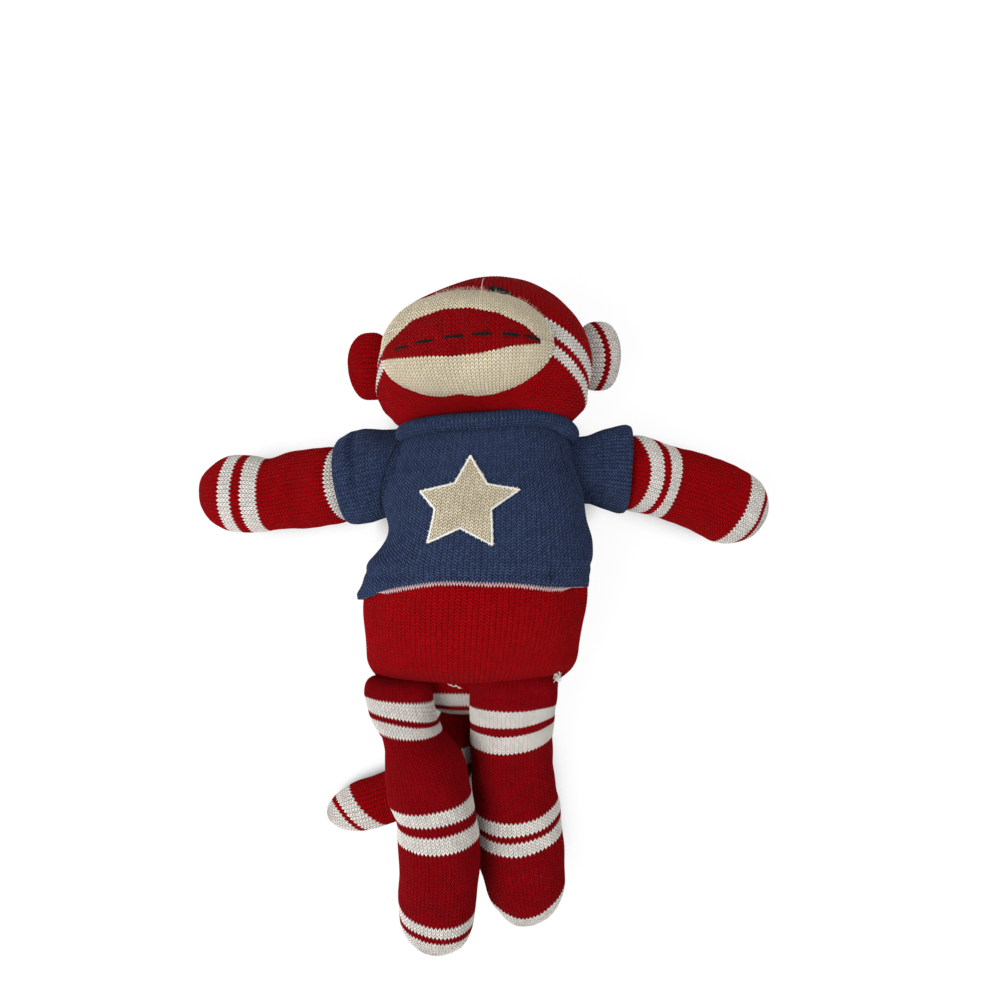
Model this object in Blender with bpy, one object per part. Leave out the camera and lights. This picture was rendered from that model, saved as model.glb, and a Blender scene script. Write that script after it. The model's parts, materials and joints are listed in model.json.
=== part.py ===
"""A knitted sock monkey doll in a short-sleeved sweater, lying on its back.

Metres. +Z is up, away from the surface the doll lies on. +Y runs from the feet to the head, and +X is
the doll's own left side. Each stuffed piece is a knitted skin round a stuffing. The origin is the
centre of the footprint, on the surface.
"""

import math

import bmesh
import bpy
from mathutils import Matrix, Vector
from mathutils.bvhtree import BVHTree

# Torso
TORSO_LENGTH = 0.156
TORSO_WIDTH = 0.116
TORSO_DEPTH = 0.083
TORSO_LEAN_DEG = 3.7
TORSO_TWIST_DEG = 1.8

# Head, with the round neck that seats in the top of the torso
HEAD_LENGTH = 0.076
HEAD_WIDTH = 0.110
HEAD_DEPTH = 0.094
NECK_RADIUS = 0.028
HEAD_TURN_DEG = -13.0
HEAD_ROLL_DEG = 1.5

# Muzzle cushion
MUZZLE_WIDTH = 0.084
MUZZLE_HEIGHT = 0.0515
MUZZLE_SHIFT = -0.0010
MUZZLE_DEPTH = 0.024
MUZZLE_SINK = 0.014
MUZZLE_PITCH_DEG = 3.0

# Ears, each a flat round cushion
EAR_LENGTH = 0.021
EAR_HEIGHT = 0.036
EAR_THICKNESS = 0.015
EAR_SEAM_RADIUS = 0.0035
EAR_CLEARANCE = 0.0026
EAR_FORWARD_DEG = {"left": -21.0, "right": 4.0}

# Eyes, each a low round button
EYE_DIAMETER = 0.0085
EYE_HEIGHT = 0.0026
EYE_SPACING = 0.045
EYE_RISE = 0.0035

# Arms
ARM_LENGTH = 0.101
ARM_WIDTH = 0.043
ARM_SEAM_WIDTH = 0.030
ARM_SEAM_DEPTH = 0.018
SHOULDER_STANDOFF = 0.010
ARM_DROOP_DEG = {"left": 18.0, "right": 5.5}
ARM_BOW = {"left": 0.011, "right": -0.004}

# Legs
LEG_LENGTH = 0.134
LEG_WIDTH = 0.0445
LEG_SEAM_RADIUS = 0.005
LEG_SPACING = 0.061
LEG_SHIFT = -0.007
LEG_SPLAY_DEG = {"left": 4.5, "right": 8.0}
LEG_BOW = {"left": -0.001, "right": 0.012}

# Tail, which the right leg lies across
TAIL_LENGTH = 0.107
TAIL_WIDTH = 0.0280
TAIL_DEPTH = 0.0235
TAIL_SEAM_RADIUS = 0.009
TAIL_START_DEG = 16.0
TAIL_BEND_DEG = 82.0

# Sweater
SWEATER_THICKNESS = 0.0020
SWEATER_LENGTH = 0.080
HEM_RISE = 0.012
ARMHOLE_RADIUS = 0.0215
SLEEVE_LENGTH = 0.022
CUFF_WIDTH = 0.0470
COLLAR_RADIUS = 0.0062
COLLAR_WIDTH = 0.098
COLLAR_DEPTH = 0.086
COLLAR_DROP = 0.0055
NECK_EDGE_DROP = 0.011

# Star patch on the chest
STAR_SPAN = 0.051
STAR_THICKNESS = 0.0010
STAR_TURN_DEG = -6.0
STAR_SHIFT = -0.0055

# Knit and fit
SKIN_THICKNESS = 0.0014
GAP = 0.0003
FLOOR_PRESS = 0.0005

# Faces round each form
TORSO_SIDES = 24
HEAD_SIDES = 24
LIMB_SIDES = 14
TAIL_SIDES = 12
MUZZLE_SIDES = 20
SLEEVE_SIDES = 20
STAR_POINTS = 5

# Each row: place along the torso from the seat, then width, depth, and height of the middle, as shares
# of the length, the half width, the half depth and the depth
TORSO_PROFILE_SHARES = (
    (0.000, 0.000, 0.000, -0.270),
    (0.032, 0.380, 0.220, -0.270),
    (0.090, 0.660, 0.440, -0.225),
    (0.160, 0.845, 0.660, -0.150),
    (0.237, 0.945, 0.835, -0.068),
    (0.365, 1.000, 0.955, -0.018),
    (0.526, 0.985, 1.000, 0.000),
    (0.686, 0.915, 0.975, 0.000),
    (0.814, 0.830, 0.905, -0.008),
    (0.904, 0.710, 0.780, -0.010),
    (0.962, 0.460, 0.560, -0.010),
    (1.000, 0.000, 0.000, -0.010),
)

# Each row: place from the middle of the neck to the crown, then width and depth as above
SKULL_PROFILE_SHARES = (
    (0.00, 0.514, 0.596, 0.0),
    (0.09, 0.915, 0.770, 0.0),
    (0.20, 0.990, 0.870, 0.0),
    (0.33, 1.000, 0.955, 0.0),
    (0.48, 0.995, 1.000, 0.0),
    (0.63, 0.935, 0.985, 0.0),
    (0.78, 0.785, 0.860, 0.0),
    (0.91, 0.540, 0.610, 0.0),
    (1.00, 0.000, 0.000, 0.0),
)

# Places along the torso from the seat, and heights from its middle as shares of its depth
NECK_SHARE = 1.0
SHOULDER_SHARE = 0.847
SHOULDER_HEIGHT_SHARE = -0.13
STAR_SHARE = 0.74
HIP_SHARE = 0.103
HIP_HEIGHT_SHARE = 0.02
TAIL_OUT_SHARE = 0.30

# Places along the head from the neck
EAR_LEFT_SHARE = 0.465
EAR_RIGHT_SHARE = 0.435
HEAD_MIDDLE_SHARE = 0.48

# Points that bend each middle line, and where it settles at its height, along its length
ARM_LINE_SHARES = (0.30, 0.66)
ARM_SETTLE_SHARE = 0.50
LEG_LINE_SHARES = (0.30, 0.66)
LEG_SETTLE_SHARE = 0.32
TAIL_LINE_SHARES = (0.24, 0.475, 0.60)
TAIL_SETTLE_SHARE = 0.40

# How much of a limb's length swells from its seam, and how much rounds its tip
ARM_GROW_SHARE = 0.30
ARM_TIP_SHARE = 0.20
LEG_GROW_SHARE = 0.32
LEG_TIP_SHARE = 0.16
TAIL_GROW_SHARE = 0.38
TAIL_TIP_SHARE = 0.15
LIMB_EVEN_SHARE = 0.86
SEAM_CAP_SHARES = (0.10, 0.32, 0.62)
LEG_SEAM_SHARE = 0.84
LEG_SEAM_EDGE_SHARE = 0.90

# Smaller outlines
EAR_SEAM_HEIGHT_SHARE = 0.25
EAR_SWELL_SHARE = 0.62
SLEEVE_SINK_SHARE = 1.6
STAR_INNER_SHARE = 0.44
EAR_ROUNDNESS = 2.6
MUZZLE_ROUNDNESS = 0.8


def smooth_rows(rows, place):
    """The values of a profile at a place, on a curve through its rows.

    Widths and depths are blended as squares, which rounds the two ends."""
    last = len(rows) - 1
    k = 0
    while k < last - 1 and rows[k + 1][0] < place:
        k += 1
    a, b = rows[k], rows[k + 1]
    before, after = rows[max(k - 1, 0)], rows[min(k + 2, last)]
    span = b[0] - a[0]
    t = (place - a[0]) / span
    values = []
    for column in (1, 2, 3):
        power = 2 if column < 3 else 1
        p0, p1, p2, p3 = (row[column] ** power for row in (before, a, b, after))
        slope_a = (p2 - p0) / max(b[0] - before[0], span) * span
        slope_b = (p3 - p1) / max(after[0] - a[0], span) * span
        value = (
            (2 * t**3 - 3 * t**2 + 1) * p1
            + (t**3 - 2 * t**2 + t) * slope_a
            + (3 * t**2 - 2 * t**3) * p2
            + (t**3 - t**2) * slope_b
        )
        values.append(math.sqrt(max(value, 0.0)) if power == 2 else value)
    return values


class Station:
    """One ring of a form: its middle, its two half axes and the directions of those."""

    def __init__(self, middle, side, up, half_width, half_depth):
        self.middle = Vector(middle)
        self.side = Vector(side)
        self.up = Vector(up)
        self.half_width = half_width
        self.half_depth = half_depth

    def point(self, angle):
        """The point of the ring at an angle from its side axis towards its up axis."""
        across = self.side * (self.half_width * math.cos(angle))
        return self.middle + across + self.up * (self.half_depth * math.sin(angle))


class Form:
    """A closed, swelling form: rings between two end points."""

    def __init__(self, start, stations, end, sides):
        self.start = Vector(start)
        self.stations = stations
        self.end = Vector(end)
        self.sides = sides

    def solid(self):
        """The form as a closed bmesh, whose first and last vertices are its two ends."""
        bm = bmesh.new()
        first = bm.verts.new(self.start)
        rings = []
        for station in self.stations:
            turns = (2 * math.pi * i / self.sides for i in range(self.sides))
            rings.append([bm.verts.new(station.point(turn)) for turn in turns])
        last = bm.verts.new(self.end)
        for i in range(self.sides):
            j = (i + 1) % self.sides
            bm.faces.new((first, rings[0][j], rings[0][i]))
            for lower, upper in zip(rings, rings[1:]):
                bm.faces.new((lower[i], lower[j], upper[j], upper[i]))
            bm.faces.new((last, rings[-1][i], rings[-1][j]))
        bmesh.ops.triangulate(bm, faces=bm.faces)
        bmesh.ops.recalc_face_normals(bm, faces=bm.faces)
        bm.normal_update()
        return bm

    def offset(self, distance):
        """The form grown evenly by a distance, or shrunk where it is negative."""
        bm = self.solid()
        moves = [(v, v.normal * (distance * v.calc_shell_factor())) for v in bm.verts]
        for vert, move in moves:
            vert.co += move
        return bm

    def shell(self, outer, inner):
        """The skin between two offsets of the form, open where the form starts."""
        far, near = self.offset(outer), self.offset(inner)
        bm = bmesh.new()
        rings = []
        for layer in (far, near):
            rings.append([bm.verts.new(v.co) for v in layer.verts][1:])
        for faces, verts in ((far.faces, rings[0]), (near.faces, rings[1])):
            for face in faces:
                numbers = [v.index - 1 for v in face.verts]
                if min(numbers) >= 0:
                    order = numbers if verts is rings[0] else numbers[::-1]
                    bm.faces.new([verts[n] for n in order])
        for i in range(self.sides):
            j = (i + 1) % self.sides
            bm.faces.new((rings[0][i], rings[0][j], rings[1][j], rings[1][i]))
        far.free()
        near.free()
        bmesh.ops.recalc_face_normals(bm, faces=bm.faces)
        return bm


def new_object(name, bm):
    mesh = bpy.data.meshes.new(name)
    bmesh.ops.recalc_face_normals(bm, faces=bm.faces)
    bm.to_mesh(mesh)
    bm.free()
    obj = bpy.data.objects.new(name, mesh)
    bpy.context.scene.collection.objects.link(obj)
    return obj


def new_cutter(name, bm):
    obj = new_object(name, bm)
    obj.hide_render = True
    obj.display_type = "WIRE"
    return obj


def combine(obj, other, operation):
    """Applies one Boolean with another object to a mesh, and leaves that object as it is."""
    modifier = obj.modifiers.new("cut", "BOOLEAN")
    modifier.object = other
    modifier.operation = operation
    modifier.solver = "EXACT"
    graph = bpy.context.evaluated_depsgraph_get()
    result = bpy.data.meshes.new_from_object(obj.evaluated_get(graph))
    obj.modifiers.clear()
    old = obj.data
    obj.data = result
    result.name = old.name
    bpy.data.meshes.remove(old)


def cut(obj, *cutters):
    for cutter in cutters:
        combine(obj, cutter, "DIFFERENCE")


def ball(name, centre, radius, segments=20, rings=12):
    """A ball cutter, whose flat faces lie outside the radius."""
    bm = bmesh.new()
    around = radius / math.cos(math.pi / segments) / math.cos(math.pi / (2 * rings))
    bmesh.ops.create_uvsphere(bm, u_segments=segments, v_segments=rings, radius=around)
    bmesh.ops.translate(bm, verts=bm.verts, vec=centre)
    return new_cutter(name, bm)


def bar(name, centre, direction, radius, length, segments=20):
    """A round bar through a centre, along a direction."""
    bm = bmesh.new()
    around = radius / math.cos(math.pi / segments)
    bmesh.ops.create_cone(
        bm, cap_ends=True, segments=segments, radius1=around, radius2=around, depth=length
    )
    turn = Vector((0, 0, 1)).rotation_difference(Vector(direction).normalized())
    bmesh.ops.transform(bm, verts=bm.verts, matrix=Matrix.Translation(centre) @ turn.to_matrix().to_4x4())
    return new_cutter(name, bm)


def floor_slab():
    """What lies below the surface that the doll rests on."""
    span = 4 * TORSO_LENGTH
    bm = bmesh.new()
    bmesh.ops.create_cube(bm, size=span)
    bmesh.ops.translate(bm, verts=bm.verts, vec=(0, 0, -span / 2))
    return new_cutter("surface_below", bm)


def ease(share):
    share = min(max(share, 0.0), 1.0)
    return share * share * (3 - 2 * share)


class Line:
    """The middle line of a limb: a smooth curve in plan, which settles from its seam to a height."""

    def __init__(self, points, rest_height, settle_share):
        self.points = [Vector(p) for p in points]
        self.rest_height = rest_height
        self.settle_share = settle_share

    def place(self, t):
        row = self.points
        while len(row) > 1:
            row = [a.lerp(b, t) for a, b in zip(row, row[1:])]
        place = row[0].copy()
        start = self.points[0].z
        place.z = start + (self.rest_height - start) * ease(t / self.settle_share)
        return place

    def frame(self, t):
        """The place at t, the direction there, and the level direction across it."""
        step_share = 0.01
        ahead = self.place(min(t + step_share, 1.0)) - self.place(max(t - step_share, 0.0))
        along = ahead.normalized()
        return self.place(t), along, along.cross(Vector((0, 0, 1))).normalized()


def torso_axis():
    lean = math.radians(TORSO_LEAN_DEG)
    return Vector((math.sin(lean), math.cos(lean), 0.0))


def torso_side():
    """The direction across the torso, towards the doll's left."""
    twist = math.radians(TORSO_TWIST_DEG)
    return Vector((math.cos(twist), math.sin(twist), 0.0))


def torso_middle_height():
    return TORSO_DEPTH / 2 + GAP + SWEATER_THICKNESS - FLOOR_PRESS


def torso_station(share):
    width, depth, rise = smooth_rows(TORSO_PROFILE_SHARES, share)
    middle = torso_axis() * (TORSO_LENGTH * share)
    middle.z = torso_middle_height() + rise * TORSO_DEPTH
    return Station(middle, torso_side(), (0, 0, 1), width * TORSO_WIDTH / 2, depth * TORSO_DEPTH / 2)


def torso_form(rings=13):
    places = [0.5 - 0.5 * math.cos(math.pi * (k + 1) / (rings + 1)) for k in range(rings)]
    stations = [torso_station(place) for place in places]
    start, end = torso_station(0.0).middle, torso_station(1.0).middle
    return Form(start, stations, end, TORSO_SIDES)


def neck_centre():
    return torso_station(NECK_SHARE).middle


def head_axes():
    """The head's directions at rest: towards its own left, its face and its crown."""
    rise = HEAD_DEPTH / 2 - FLOOR_PRESS - neck_centre().z
    up = Vector((0, HEAD_LENGTH / 2, rise)).normalized()
    up.rotate(Matrix.Rotation(math.radians(HEAD_ROLL_DEG), 3, "Z"))
    front = (Vector((0, 0, 1)) - up * up.z).normalized()
    front.rotate(Matrix.Rotation(math.radians(HEAD_TURN_DEG), 3, up))
    return up.cross(front), front, up


def head_form(skull_rings=8, neck_rings=4):
    side, front, up = head_axes()
    middle = neck_centre()
    stations = []
    for k in range(neck_rings):
        angle = math.pi / 2 * (k + 1) / (neck_rings + 1)
        radius = NECK_RADIUS * math.sin(angle)
        stations.append(Station(middle - up * (NECK_RADIUS * math.cos(angle)), side, front, radius, radius))
    for k in range(skull_rings + 1):
        share = math.sin(math.pi / 2 * k / (skull_rings + 0.6))
        width, depth, _ = smooth_rows(SKULL_PROFILE_SHARES, share)
        place = middle + up * (HEAD_LENGTH * share)
        half_width = max(width * HEAD_WIDTH / 2, NECK_RADIUS if k == 0 else 0.0)
        half_depth = max(depth * HEAD_DEPTH / 2, NECK_RADIUS if k == 0 else 0.0)
        stations.append(Station(place, side, front, half_width, half_depth))
    return Form(middle - up * NECK_RADIUS, stations, middle + up * HEAD_LENGTH, HEAD_SIDES)


def head_centre():
    return neck_centre() + head_axes()[2] * (HEAD_LENGTH * HEAD_MIDDLE_SHARE)


def head_direction(pitch_deg, turn_deg=0.0):
    """A direction from the head's middle, pitched from the face towards the crown."""
    side, front, up = head_axes()
    pitch, turn = math.radians(pitch_deg), math.radians(turn_deg)
    level = front * math.cos(turn) + side * math.sin(turn)
    return level * math.cos(pitch) + up * math.sin(pitch)


def muzzle_form(rings=8):
    """The muzzle cushion, whose rings run from its back to its front."""
    side = head_axes()[0]
    forward = head_direction(MUZZLE_PITCH_DEG)
    up = forward.cross(side)
    middle = head_centre() + forward * (HEAD_DEPTH / 2 - MUZZLE_SINK) + side * MUZZLE_SHIFT
    stations = []
    for k in range(rings):
        angle = math.pi * (k + 1) / (rings + 1)
        place = middle - forward * (MUZZLE_DEPTH * math.cos(angle))
        swell = math.sin(angle) ** MUZZLE_ROUNDNESS
        stations.append(Station(place, side, up, MUZZLE_WIDTH / 2 * swell, MUZZLE_HEIGHT / 2 * swell))
    start, end = middle - forward * MUZZLE_DEPTH, middle + forward * MUZZLE_DEPTH
    return Form(start, stations, end, MUZZLE_SIDES)


def sign(side_name):
    """+1 for the doll's own left, -1 for its right."""
    return 1 if side_name == "left" else -1


def ear_hinge(side_name):
    """The middle of an ear's seam, and the directions out of the head, forward and up it."""
    side, front, up = head_axes()
    turn = math.radians(EAR_FORWARD_DEG[side_name])
    out = side * (sign(side_name) * math.cos(turn)) + front * math.sin(turn)
    height_share = EAR_LEFT_SHARE if side_name == "left" else EAR_RIGHT_SHARE
    half_width, half_depth, _ = smooth_rows(SKULL_PROFILE_SHARES, height_share)
    across = math.cos(turn) / (half_width * HEAD_WIDTH / 2)
    along = math.sin(turn) / (half_depth * HEAD_DEPTH / 2)
    reach = 1 / math.hypot(across, along) - EAR_SEAM_RADIUS / 2
    place = neck_centre() + up * (HEAD_LENGTH * height_share) + out * reach
    return place, out.normalized(), up.cross(out).normalized(), up


def ear_form(side_name, rings=7):
    """An ear, thin at its seam and round at its edge."""
    place, out, forward, up = ear_hinge(side_name)
    stations = []
    for k in range(rings):
        share = 0.5 - 0.5 * math.cos(math.pi * (k + 0.8) / (rings + 0.8))
        reach = share * (EAR_LENGTH + EAR_SEAM_RADIUS) - EAR_SEAM_RADIUS
        round_share = math.sqrt(max(0.0, 1 - abs(2 * share - 1) ** EAR_ROUNDNESS))
        height_share = round_share
        if share < 0.5:
            height_share = EAR_SEAM_HEIGHT_SHARE + (1 - EAR_SEAM_HEIGHT_SHARE) * round_share
        thick_share = round_share
        if share < EAR_SWELL_SHARE:
            thick_share = math.sqrt(max(0.0, 1 - (share / EAR_SWELL_SHARE - 1) ** 2))
        half_height = EAR_HEIGHT / 2 * height_share
        half_thick = EAR_THICKNESS / 2 * thick_share
        if reach <= 0:
            half_thick = math.sqrt(max(EAR_SEAM_RADIUS**2 - reach**2, 0.0))
        stations.append(Station(place + out * reach, up, forward, half_height, half_thick))
    start = place - out * EAR_SEAM_RADIUS
    return Form(start, stations, place + out * EAR_LENGTH, LIMB_SIDES)


def shoulder_centre(side_name):
    """The middle of a shoulder's movement, just outside the torso."""
    station = torso_station(SHOULDER_SHARE)
    out = station.side * sign(side_name)
    rise = Vector((0, 0, SHOULDER_HEIGHT_SHARE * TORSO_DEPTH))
    return station.middle + rise + out * (station.half_width + SHOULDER_STANDOFF)


def arm_line(side_name):
    """The middle line of an arm, from its seam past the shoulder to the hand."""
    root = shoulder_centre(side_name)
    droop = math.radians(ARM_DROOP_DEG[side_name])
    out = Vector((sign(side_name) * math.cos(droop), -math.sin(droop), 0))
    across = Vector((0, 0, 1)).cross(out) * sign(side_name)
    hand = root + out * ARM_LENGTH
    bow = across * ARM_BOW[side_name]
    near, far = (root + out * (ARM_LENGTH * share) + bow for share in ARM_LINE_SHARES)
    return Line([root, near, far, hand], ARM_WIDTH / 2 - FLOOR_PRESS, ARM_SETTLE_SHARE)


def limb_places(middle_rings, cap_rings):
    """Places from 0 to 1 along a limb, closer together towards its round tip."""
    places = [LIMB_EVEN_SHARE * (k + 1) / middle_rings for k in range(middle_rings)]
    for k in range(cap_rings):
        turn = math.pi / 2 * (k + 1) / (cap_rings + 0.45)
        places.append(LIMB_EVEN_SHARE + (1 - LIMB_EVEN_SHARE) * math.sin(turn))
    return places


def tip_round(place, tip_share):
    """The rounding factor of a limb near its tip."""
    left = (1 - place) / tip_share
    return math.sqrt(max(1 - (1 - left) ** 2, 0.0)) if left < 1 else 1.0


def arm_form(side_name):
    """An arm: a small round seam end in the shoulder, swelling to a stuffed tube."""
    line = arm_line(side_name)
    place, along, across = line.frame(0.0)
    seam_width, seam_depth = ARM_SEAM_WIDTH / 2, ARM_SEAM_DEPTH / 2
    stations = []
    for share in SEAM_CAP_SHARES:
        back = seam_width * (1 - share)
        factor = math.sqrt(1 - (back / seam_width) ** 2)
        middle = place - along * back
        stations.append(Station(middle, across, (0, 0, 1), seam_width * factor, seam_depth * factor))
    for t in [0.0] + limb_places(5, 3):
        middle, way, level = line.frame(t)
        grown = ease(t / ARM_GROW_SHARE)
        tip = tip_round(t, ARM_TIP_SHARE)
        width = (seam_width + (ARM_WIDTH / 2 - seam_width) * grown) * tip
        depth = (seam_depth + (ARM_WIDTH / 2 - seam_depth) * grown) * tip
        stations.append(Station(middle, level, level.cross(way), width, depth))
    return Form(place - along * seam_width, stations, line.place(1.0), LIMB_SIDES)


def hip_centre(side_name):
    station = torso_station(HIP_SHARE)
    middle = station.middle + station.side * (sign(side_name) * LEG_SPACING / 2 + LEG_SHIFT)
    middle.z = torso_middle_height() + HIP_HEIGHT_SHARE * TORSO_DEPTH
    return middle


def leg_rest_height(side_name):
    """The left leg lies on the surface, and the right leg on the tail."""
    if side_name == "left":
        return LEG_WIDTH / 2 - FLOOR_PRESS
    return TAIL_DEPTH - FLOOR_PRESS + GAP + LEG_WIDTH / 2


def leg_line(side_name):
    root = hip_centre(side_name)
    splay = math.radians(LEG_SPLAY_DEG[side_name])
    out = Vector((math.sin(splay), -math.cos(splay), 0))
    across = Vector((1, 0, 0))
    foot = root + out * LEG_LENGTH
    bow = across * LEG_BOW[side_name]
    near, far = (root + out * (LEG_LENGTH * share) + bow for share in LEG_LINE_SHARES)
    return Line([root, near, far, foot], leg_rest_height(side_name), LEG_SETTLE_SHARE)


def leg_form(side_name):
    """A leg: a flat seam end at the hip, swelling to a stuffed tube."""
    line = leg_line(side_name)
    place = line.place(0.0)
    along, across = Vector((0, -1, 0)), Vector((1, 0, 0))
    seam_width = LEG_WIDTH / 2 * LEG_SEAM_SHARE
    stations = []
    for share in SEAM_CAP_SHARES:
        back = LEG_SEAM_RADIUS * (1 - share)
        depth = math.sqrt(LEG_SEAM_RADIUS**2 - back**2)
        width = seam_width * (LEG_SEAM_EDGE_SHARE + (1 - LEG_SEAM_EDGE_SHARE) * share)
        stations.append(Station(place - along * back, across, (0, 0, 1), width, depth))
    for t in [0.0] + limb_places(6, 3):
        middle, _, level = line.frame(t)
        if t == 0.0:
            level = across
        grown = ease(t / LEG_GROW_SHARE)
        tip = tip_round(t, LEG_TIP_SHARE)
        width = (seam_width + (LEG_WIDTH / 2 - seam_width) * grown) * tip
        depth = (LEG_SEAM_RADIUS + (LEG_WIDTH / 2 - LEG_SEAM_RADIUS) * grown) * tip
        side = level if level.x > 0 else -level
        stations.append(Station(middle, side, (0, 0, 1), width, depth))
    return Form(place - along * LEG_SEAM_RADIUS, stations, line.place(1.0), LIMB_SIDES)


def tail_root():
    """The middle of the tail's seam, between the legs at the end of the seat."""
    seat = torso_station(0.0).middle
    root = seat + torso_side() * LEG_SHIFT - torso_axis() * (TAIL_SEAM_RADIUS * TAIL_OUT_SHARE)
    root.z = TAIL_SEAM_RADIUS + TAIL_DEPTH / 4
    return root


def tail_line():
    root = tail_root()
    start, bend = math.radians(TAIL_START_DEG), math.radians(TAIL_BEND_DEG)
    down = Vector((-math.sin(start), -math.cos(start), 0))
    out = Vector((-math.sin(bend), -math.cos(bend), 0))
    near_share, far_share, tip_share = TAIL_LINE_SHARES
    near = root + down * (TAIL_LENGTH * near_share)
    far = root + down * (TAIL_LENGTH * far_share)
    tip = far + out * (TAIL_LENGTH * tip_share)
    return Line([root, near, far, tip], TAIL_DEPTH / 2 - FLOOR_PRESS, TAIL_SETTLE_SHARE)


def tail_form():
    line = tail_line()
    place, along, across = line.frame(0.0)
    stations = []
    for share in SEAM_CAP_SHARES:
        back = TAIL_SEAM_RADIUS * (1 - share)
        radius = math.sqrt(TAIL_SEAM_RADIUS**2 - back**2)
        stations.append(Station(place - along * back, across, (0, 0, 1), radius, radius))
    for t in [0.0] + limb_places(6, 2):
        middle, _, level = line.frame(t)
        grown = ease(t / TAIL_GROW_SHARE)
        tip = tip_round(t, TAIL_TIP_SHARE)
        width = (TAIL_SEAM_RADIUS + (TAIL_WIDTH / 2 - TAIL_SEAM_RADIUS) * grown) * tip
        depth = (TAIL_SEAM_RADIUS + (TAIL_DEPTH / 2 - TAIL_SEAM_RADIUS) * grown) * tip
        stations.append(Station(middle, level, (0, 0, 1), width, depth))
    return Form(place - along * TAIL_SEAM_RADIUS, stations, line.place(1.0), TAIL_SIDES)


def material(name, colour, roughness):
    found = bpy.data.materials.get(name)
    if found:
        return found
    made = bpy.data.materials.new(name)
    made.use_nodes = True
    shader = made.node_tree.nodes["Principled BSDF"]
    shader.inputs["Base Color"].default_value = (*colour, 1.0)
    shader.inputs["Roughness"].default_value = roughness
    shader.inputs["Metallic"].default_value = 0.0
    made.diffuse_color = (*colour, 1.0)
    return made


RED_KNIT = ("red_knit", (0.33, 0.008, 0.012), 0.92)
CREAM_KNIT = ("cream_knit", (0.66, 0.58, 0.42), 0.92)
BLUE_KNIT = ("blue_knit", (0.045, 0.085, 0.20), 0.90)
STUFFING = ("polyester_stuffing", (0.85, 0.85, 0.83), 1.0)
BLACK_THREAD = ("black_thread", (0.012, 0.011, 0.010), 0.75)


def finish(obj, look, origin=None):
    """Gives a piece its material, its smooth shading, and its origin on its joint."""
    obj.data.materials.clear()
    obj.data.materials.append(material(*look))
    for polygon in obj.data.polygons:
        polygon.material_index = 0
    obj.data.shade_smooth()
    obj.data.set_sharp_from_angle(angle=math.radians(50))
    if origin is not None:
        obj.data.transform(Matrix.Translation(-origin))
        obj.location = origin
    return obj


def make_torso(cutters):
    form = torso_form()
    skin = new_object("torso_skin", form.offset(0.0))
    hollow = new_cutter("torso_hollow", form.offset(-SKIN_THICKNESS))
    cut(skin, *cutters, hollow)
    stuffing = new_object("torso_stuffing", form.offset(-SKIN_THICKNESS - GAP))
    cut(stuffing, *cutters)
    finish(skin, RED_KNIT)
    finish(stuffing, STUFFING)


def make_stuffed(name, form, look, origin, slab, *cutters):
    """A skin and its stuffing."""
    skin = new_object(f"{name}_skin", form.shell(0.0, -SKIN_THICKNESS))
    cut(skin, slab, *cutters)
    stuffing = new_object(f"{name}_stuffing", form.offset(-SKIN_THICKNESS - GAP))
    cut(stuffing, *cutters)
    finish(skin, look, origin)
    finish(stuffing, STUFFING, origin)


def make_muzzle(origin):
    """The muzzle's skin and stuffing, each cut to the head's surface."""
    form = muzzle_form()
    against = new_cutter("head_against_muzzle", head_form().offset(GAP))
    skin = new_object("muzzle_skin", form.offset(0.0))
    hollow = new_cutter("muzzle_hollow", form.offset(-SKIN_THICKNESS))
    cut(skin, hollow, against)
    stuffing = new_object("muzzle_stuffing", form.offset(-SKIN_THICKNESS - GAP))
    cut(stuffing, against)
    finish(skin, CREAM_KNIT, origin)
    finish(stuffing, STUFFING, origin)


def eye_pitch_deg():
    """The pitch at which an eye sits just above the muzzle's edge."""
    edge = MUZZLE_HEIGHT / 2 * math.sqrt(max(1 - (EYE_SPACING / MUZZLE_WIDTH) ** 2, 0.0))
    return MUZZLE_PITCH_DEG + math.degrees(math.atan2(edge + EYE_RISE, HEAD_DEPTH / 2 - MUZZLE_SINK))


def make_eye(side_name, origin):
    """A low dome, cut to the head's surface."""
    out = head_direction(eye_pitch_deg(), math.degrees(EYE_SPACING / HEAD_WIDTH) * sign(side_name))
    probe = head_form().solid()
    hit, normal, _, _ = BVHTree.FromBMesh(probe).ray_cast(head_centre() + out * HEAD_WIDTH, -out)
    probe.free()
    bm = bmesh.new()
    bmesh.ops.create_uvsphere(bm, u_segments=16, v_segments=8, radius=EYE_DIAMETER / 2)
    squash = Matrix.Diagonal((1, 1, 2 * EYE_HEIGHT / EYE_DIAMETER, 1))
    turn = Vector((0, 0, 1)).rotation_difference(normal).to_matrix().to_4x4()
    bmesh.ops.transform(bm, verts=bm.verts, matrix=Matrix.Translation(hit) @ turn @ squash)
    eye = new_object(f"eye_{side_name}", bm)
    cut(eye, new_cutter(f"head_against_eye_{side_name}", head_form().offset(GAP)))
    finish(eye, BLACK_THREAD, origin)


def make_sweater_body(slab):
    """The sweater round the torso, open at the neck, the arms and the hem."""
    form = torso_form()
    knit = new_object("sweater_body", form.offset(GAP + SWEATER_THICKNESS))
    inside = new_cutter("sweater_inside", form.offset(GAP))
    axis = torso_axis()
    hem = neck_centre() - axis * SWEATER_LENGTH
    slope = math.atan2(HEM_RISE, TORSO_DEPTH)
    below = half_space("below_hem", hem, -axis, slope)
    above = half_space("above_neck", neck_centre() - axis * NECK_EDGE_DROP, axis, 0.0)
    cutters = [inside, below, above, ball("neck_opening", neck_centre(), NECK_RADIUS + GAP, 28, 16)]
    for side_name in ("left", "right"):
        place = shoulder_centre(side_name)
        cutters.append(ball(f"armhole_{side_name}", place, ARMHOLE_RADIUS, 24, 14))
    cut(knit, *cutters, slab)
    finish(knit, BLUE_KNIT)


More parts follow.
